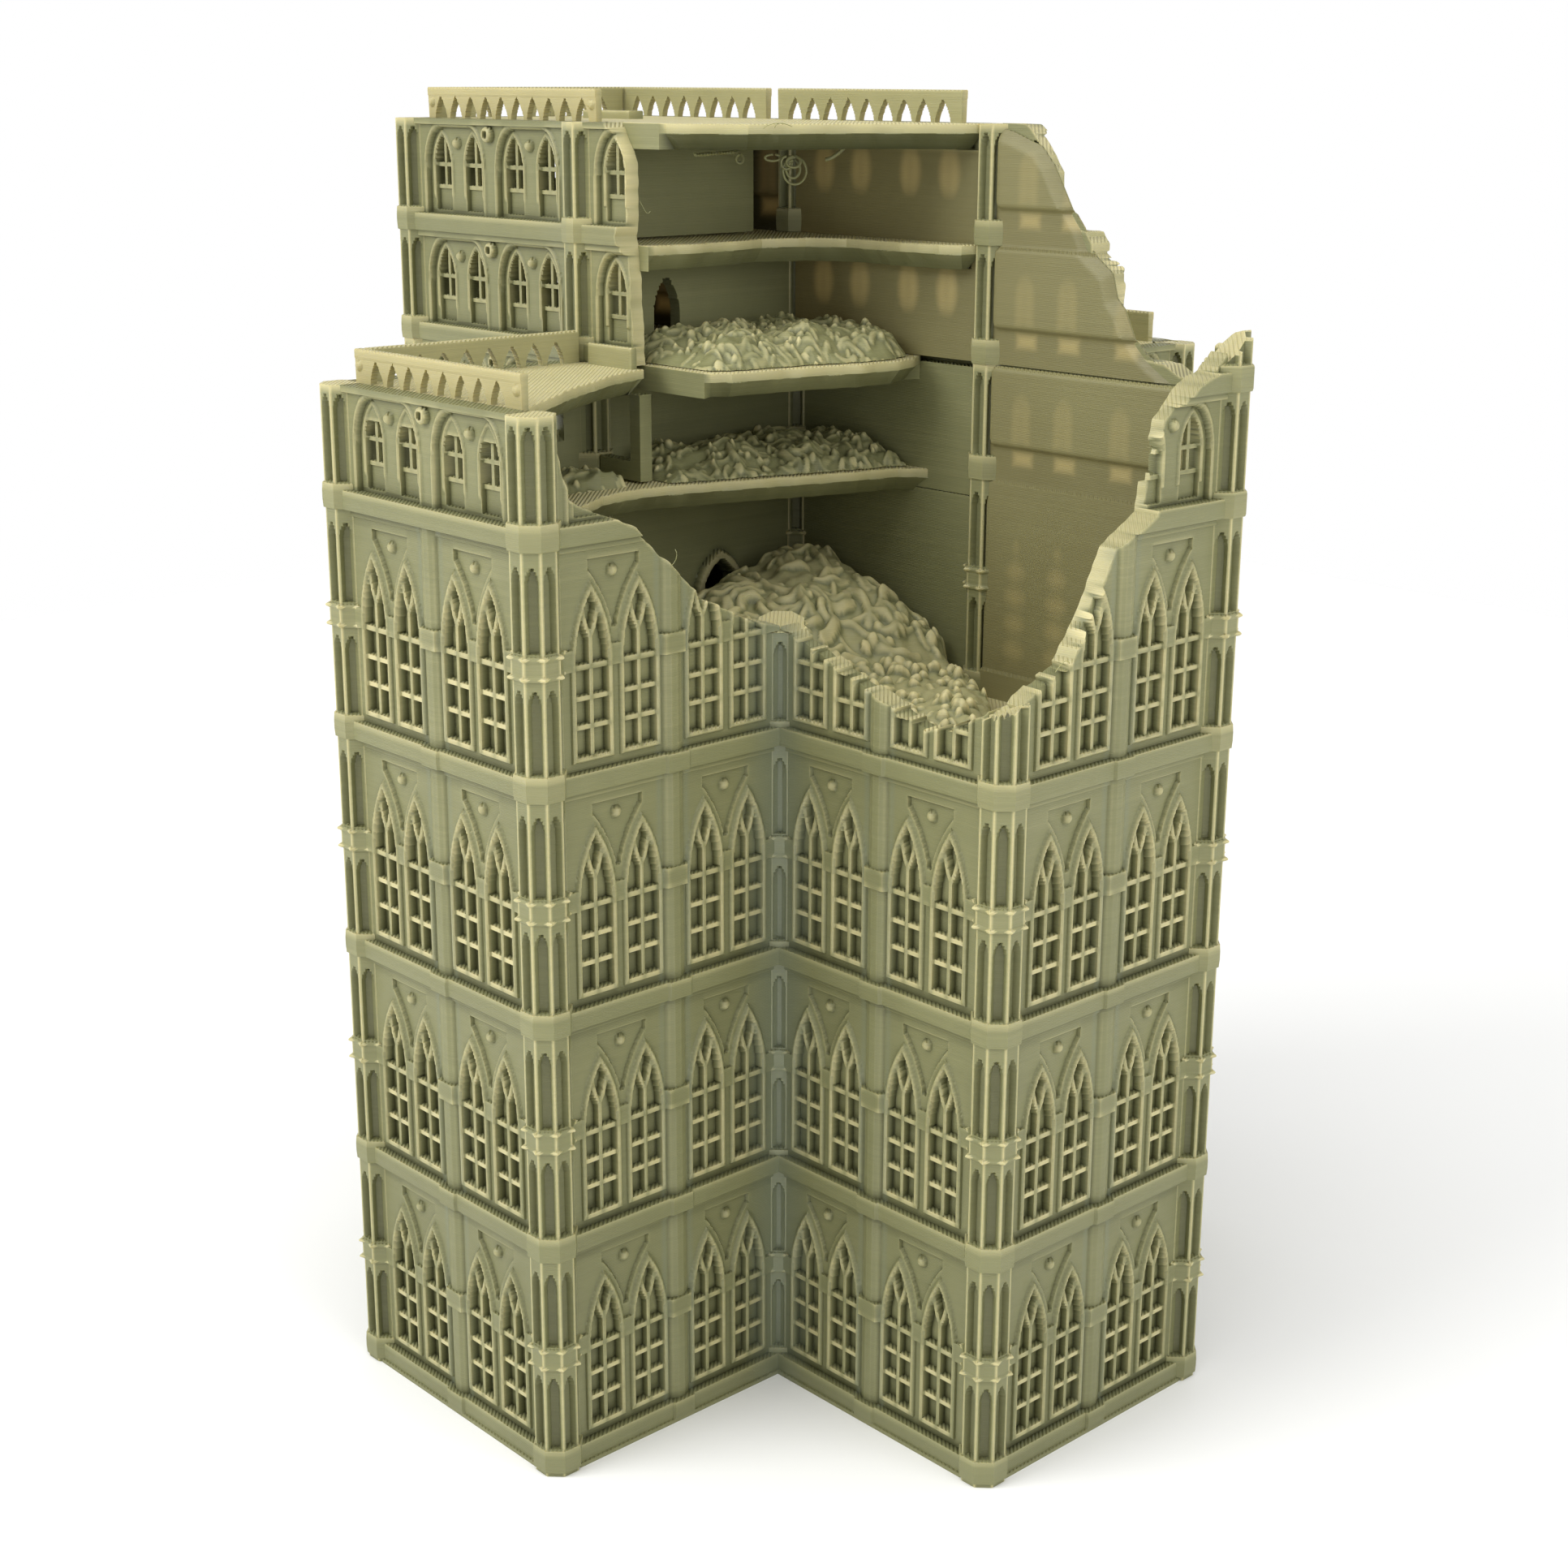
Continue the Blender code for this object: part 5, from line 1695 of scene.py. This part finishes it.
def build_camera():
    """The photo's own view: looking down on the broken corner from the south-east."""
    camera = bpy.data.objects.new("camera", bpy.data.cameras.new("camera"))
    bpy.context.scene.collection.objects.link(camera)
    camera.data.sensor_width = 36.0
    camera.data.lens = CAMERA_LENS
    camera.data.clip_start = 0.01
    camera.data.clip_end = 20.0
    spot = Matrix.Translation(Vector(CAMERA_SPOT) * MM)
    turn = Matrix.Rotation(math.radians(CAMERA_AZIMUTH), 4, "Z")
    tilt = Matrix.Rotation(math.pi / 2 - math.radians(CAMERA_ELEVATION), 4, "X")
    roll = Matrix.Rotation(math.radians(CAMERA_ROLL), 4, "Z")
    camera.matrix_world = spot @ turn @ tilt @ roll
    bpy.context.scene.camera = camera


def build_table():
    """A plain pale table, no larger than the picture needs."""
    floor = bpy.data.meshes.new("table")
    corners = [(x * TABLE_HALF, y * TABLE_HALF, 0) for x, y in ((-1, -1), (1, -1), (1, 1), (-1, 1))]
    floor.from_pydata(corners, [], [(0, 1, 2, 3)])
    table = bpy.data.objects.new("table", floor)
    bpy.context.scene.collection.objects.link(table)
    paper = bpy.data.materials.new("pale_table")
    paper.use_nodes = True
    shader = paper.node_tree.nodes["Principled BSDF"]
    shader.inputs["Base Color"].default_value = TABLE_COLOUR
    shader.inputs["Roughness"].default_value = 0.9
    floor.materials.append(paper)


def build_lamps():
    """Soft studio light: a key from the south, a fill from the east, and light from above."""
    for name, kind, spot, width, power in LAMPS:
        light = bpy.data.lights.new(name, kind)
        if kind == "AREA":
            light.size = width
        else:
            light.angle = width
        light.energy = power
        lamp = bpy.data.objects.new(name, light)
        lamp.location = spot
        aim = Vector(AIM) - Vector(spot)
        lamp.rotation_euler = aim.to_track_quat("-Z", "Y").to_euler()
        bpy.context.scene.collection.objects.link(lamp)


def build_studio():
    """A dim room with a white band round the horizon."""
    world = bpy.data.worlds.new("studio")
    world.use_nodes = True
    tree = world.node_tree
    parts = tree.nodes.new("ShaderNodeSeparateXYZ")
    tree.links.new(tree.nodes.new("ShaderNodeTexCoord").outputs["Generated"], parts.inputs[0])
    white = (1.0, 1.0, 1.0)
    shade = ramp(tree, parts.outputs["Z"], [(0.0, white), (0.07, white), (0.3, (ROOM_LEVEL,) * 3)])
    tree.links.new(shade, tree.nodes["Background"].inputs["Color"])
    tree.nodes["Background"].inputs["Strength"].default_value = 1.0
    bpy.context.scene.world = world
    bpy.context.scene.view_settings.view_transform = "Standard"


build_camera()
build_table()
build_studio()
build_lamps()
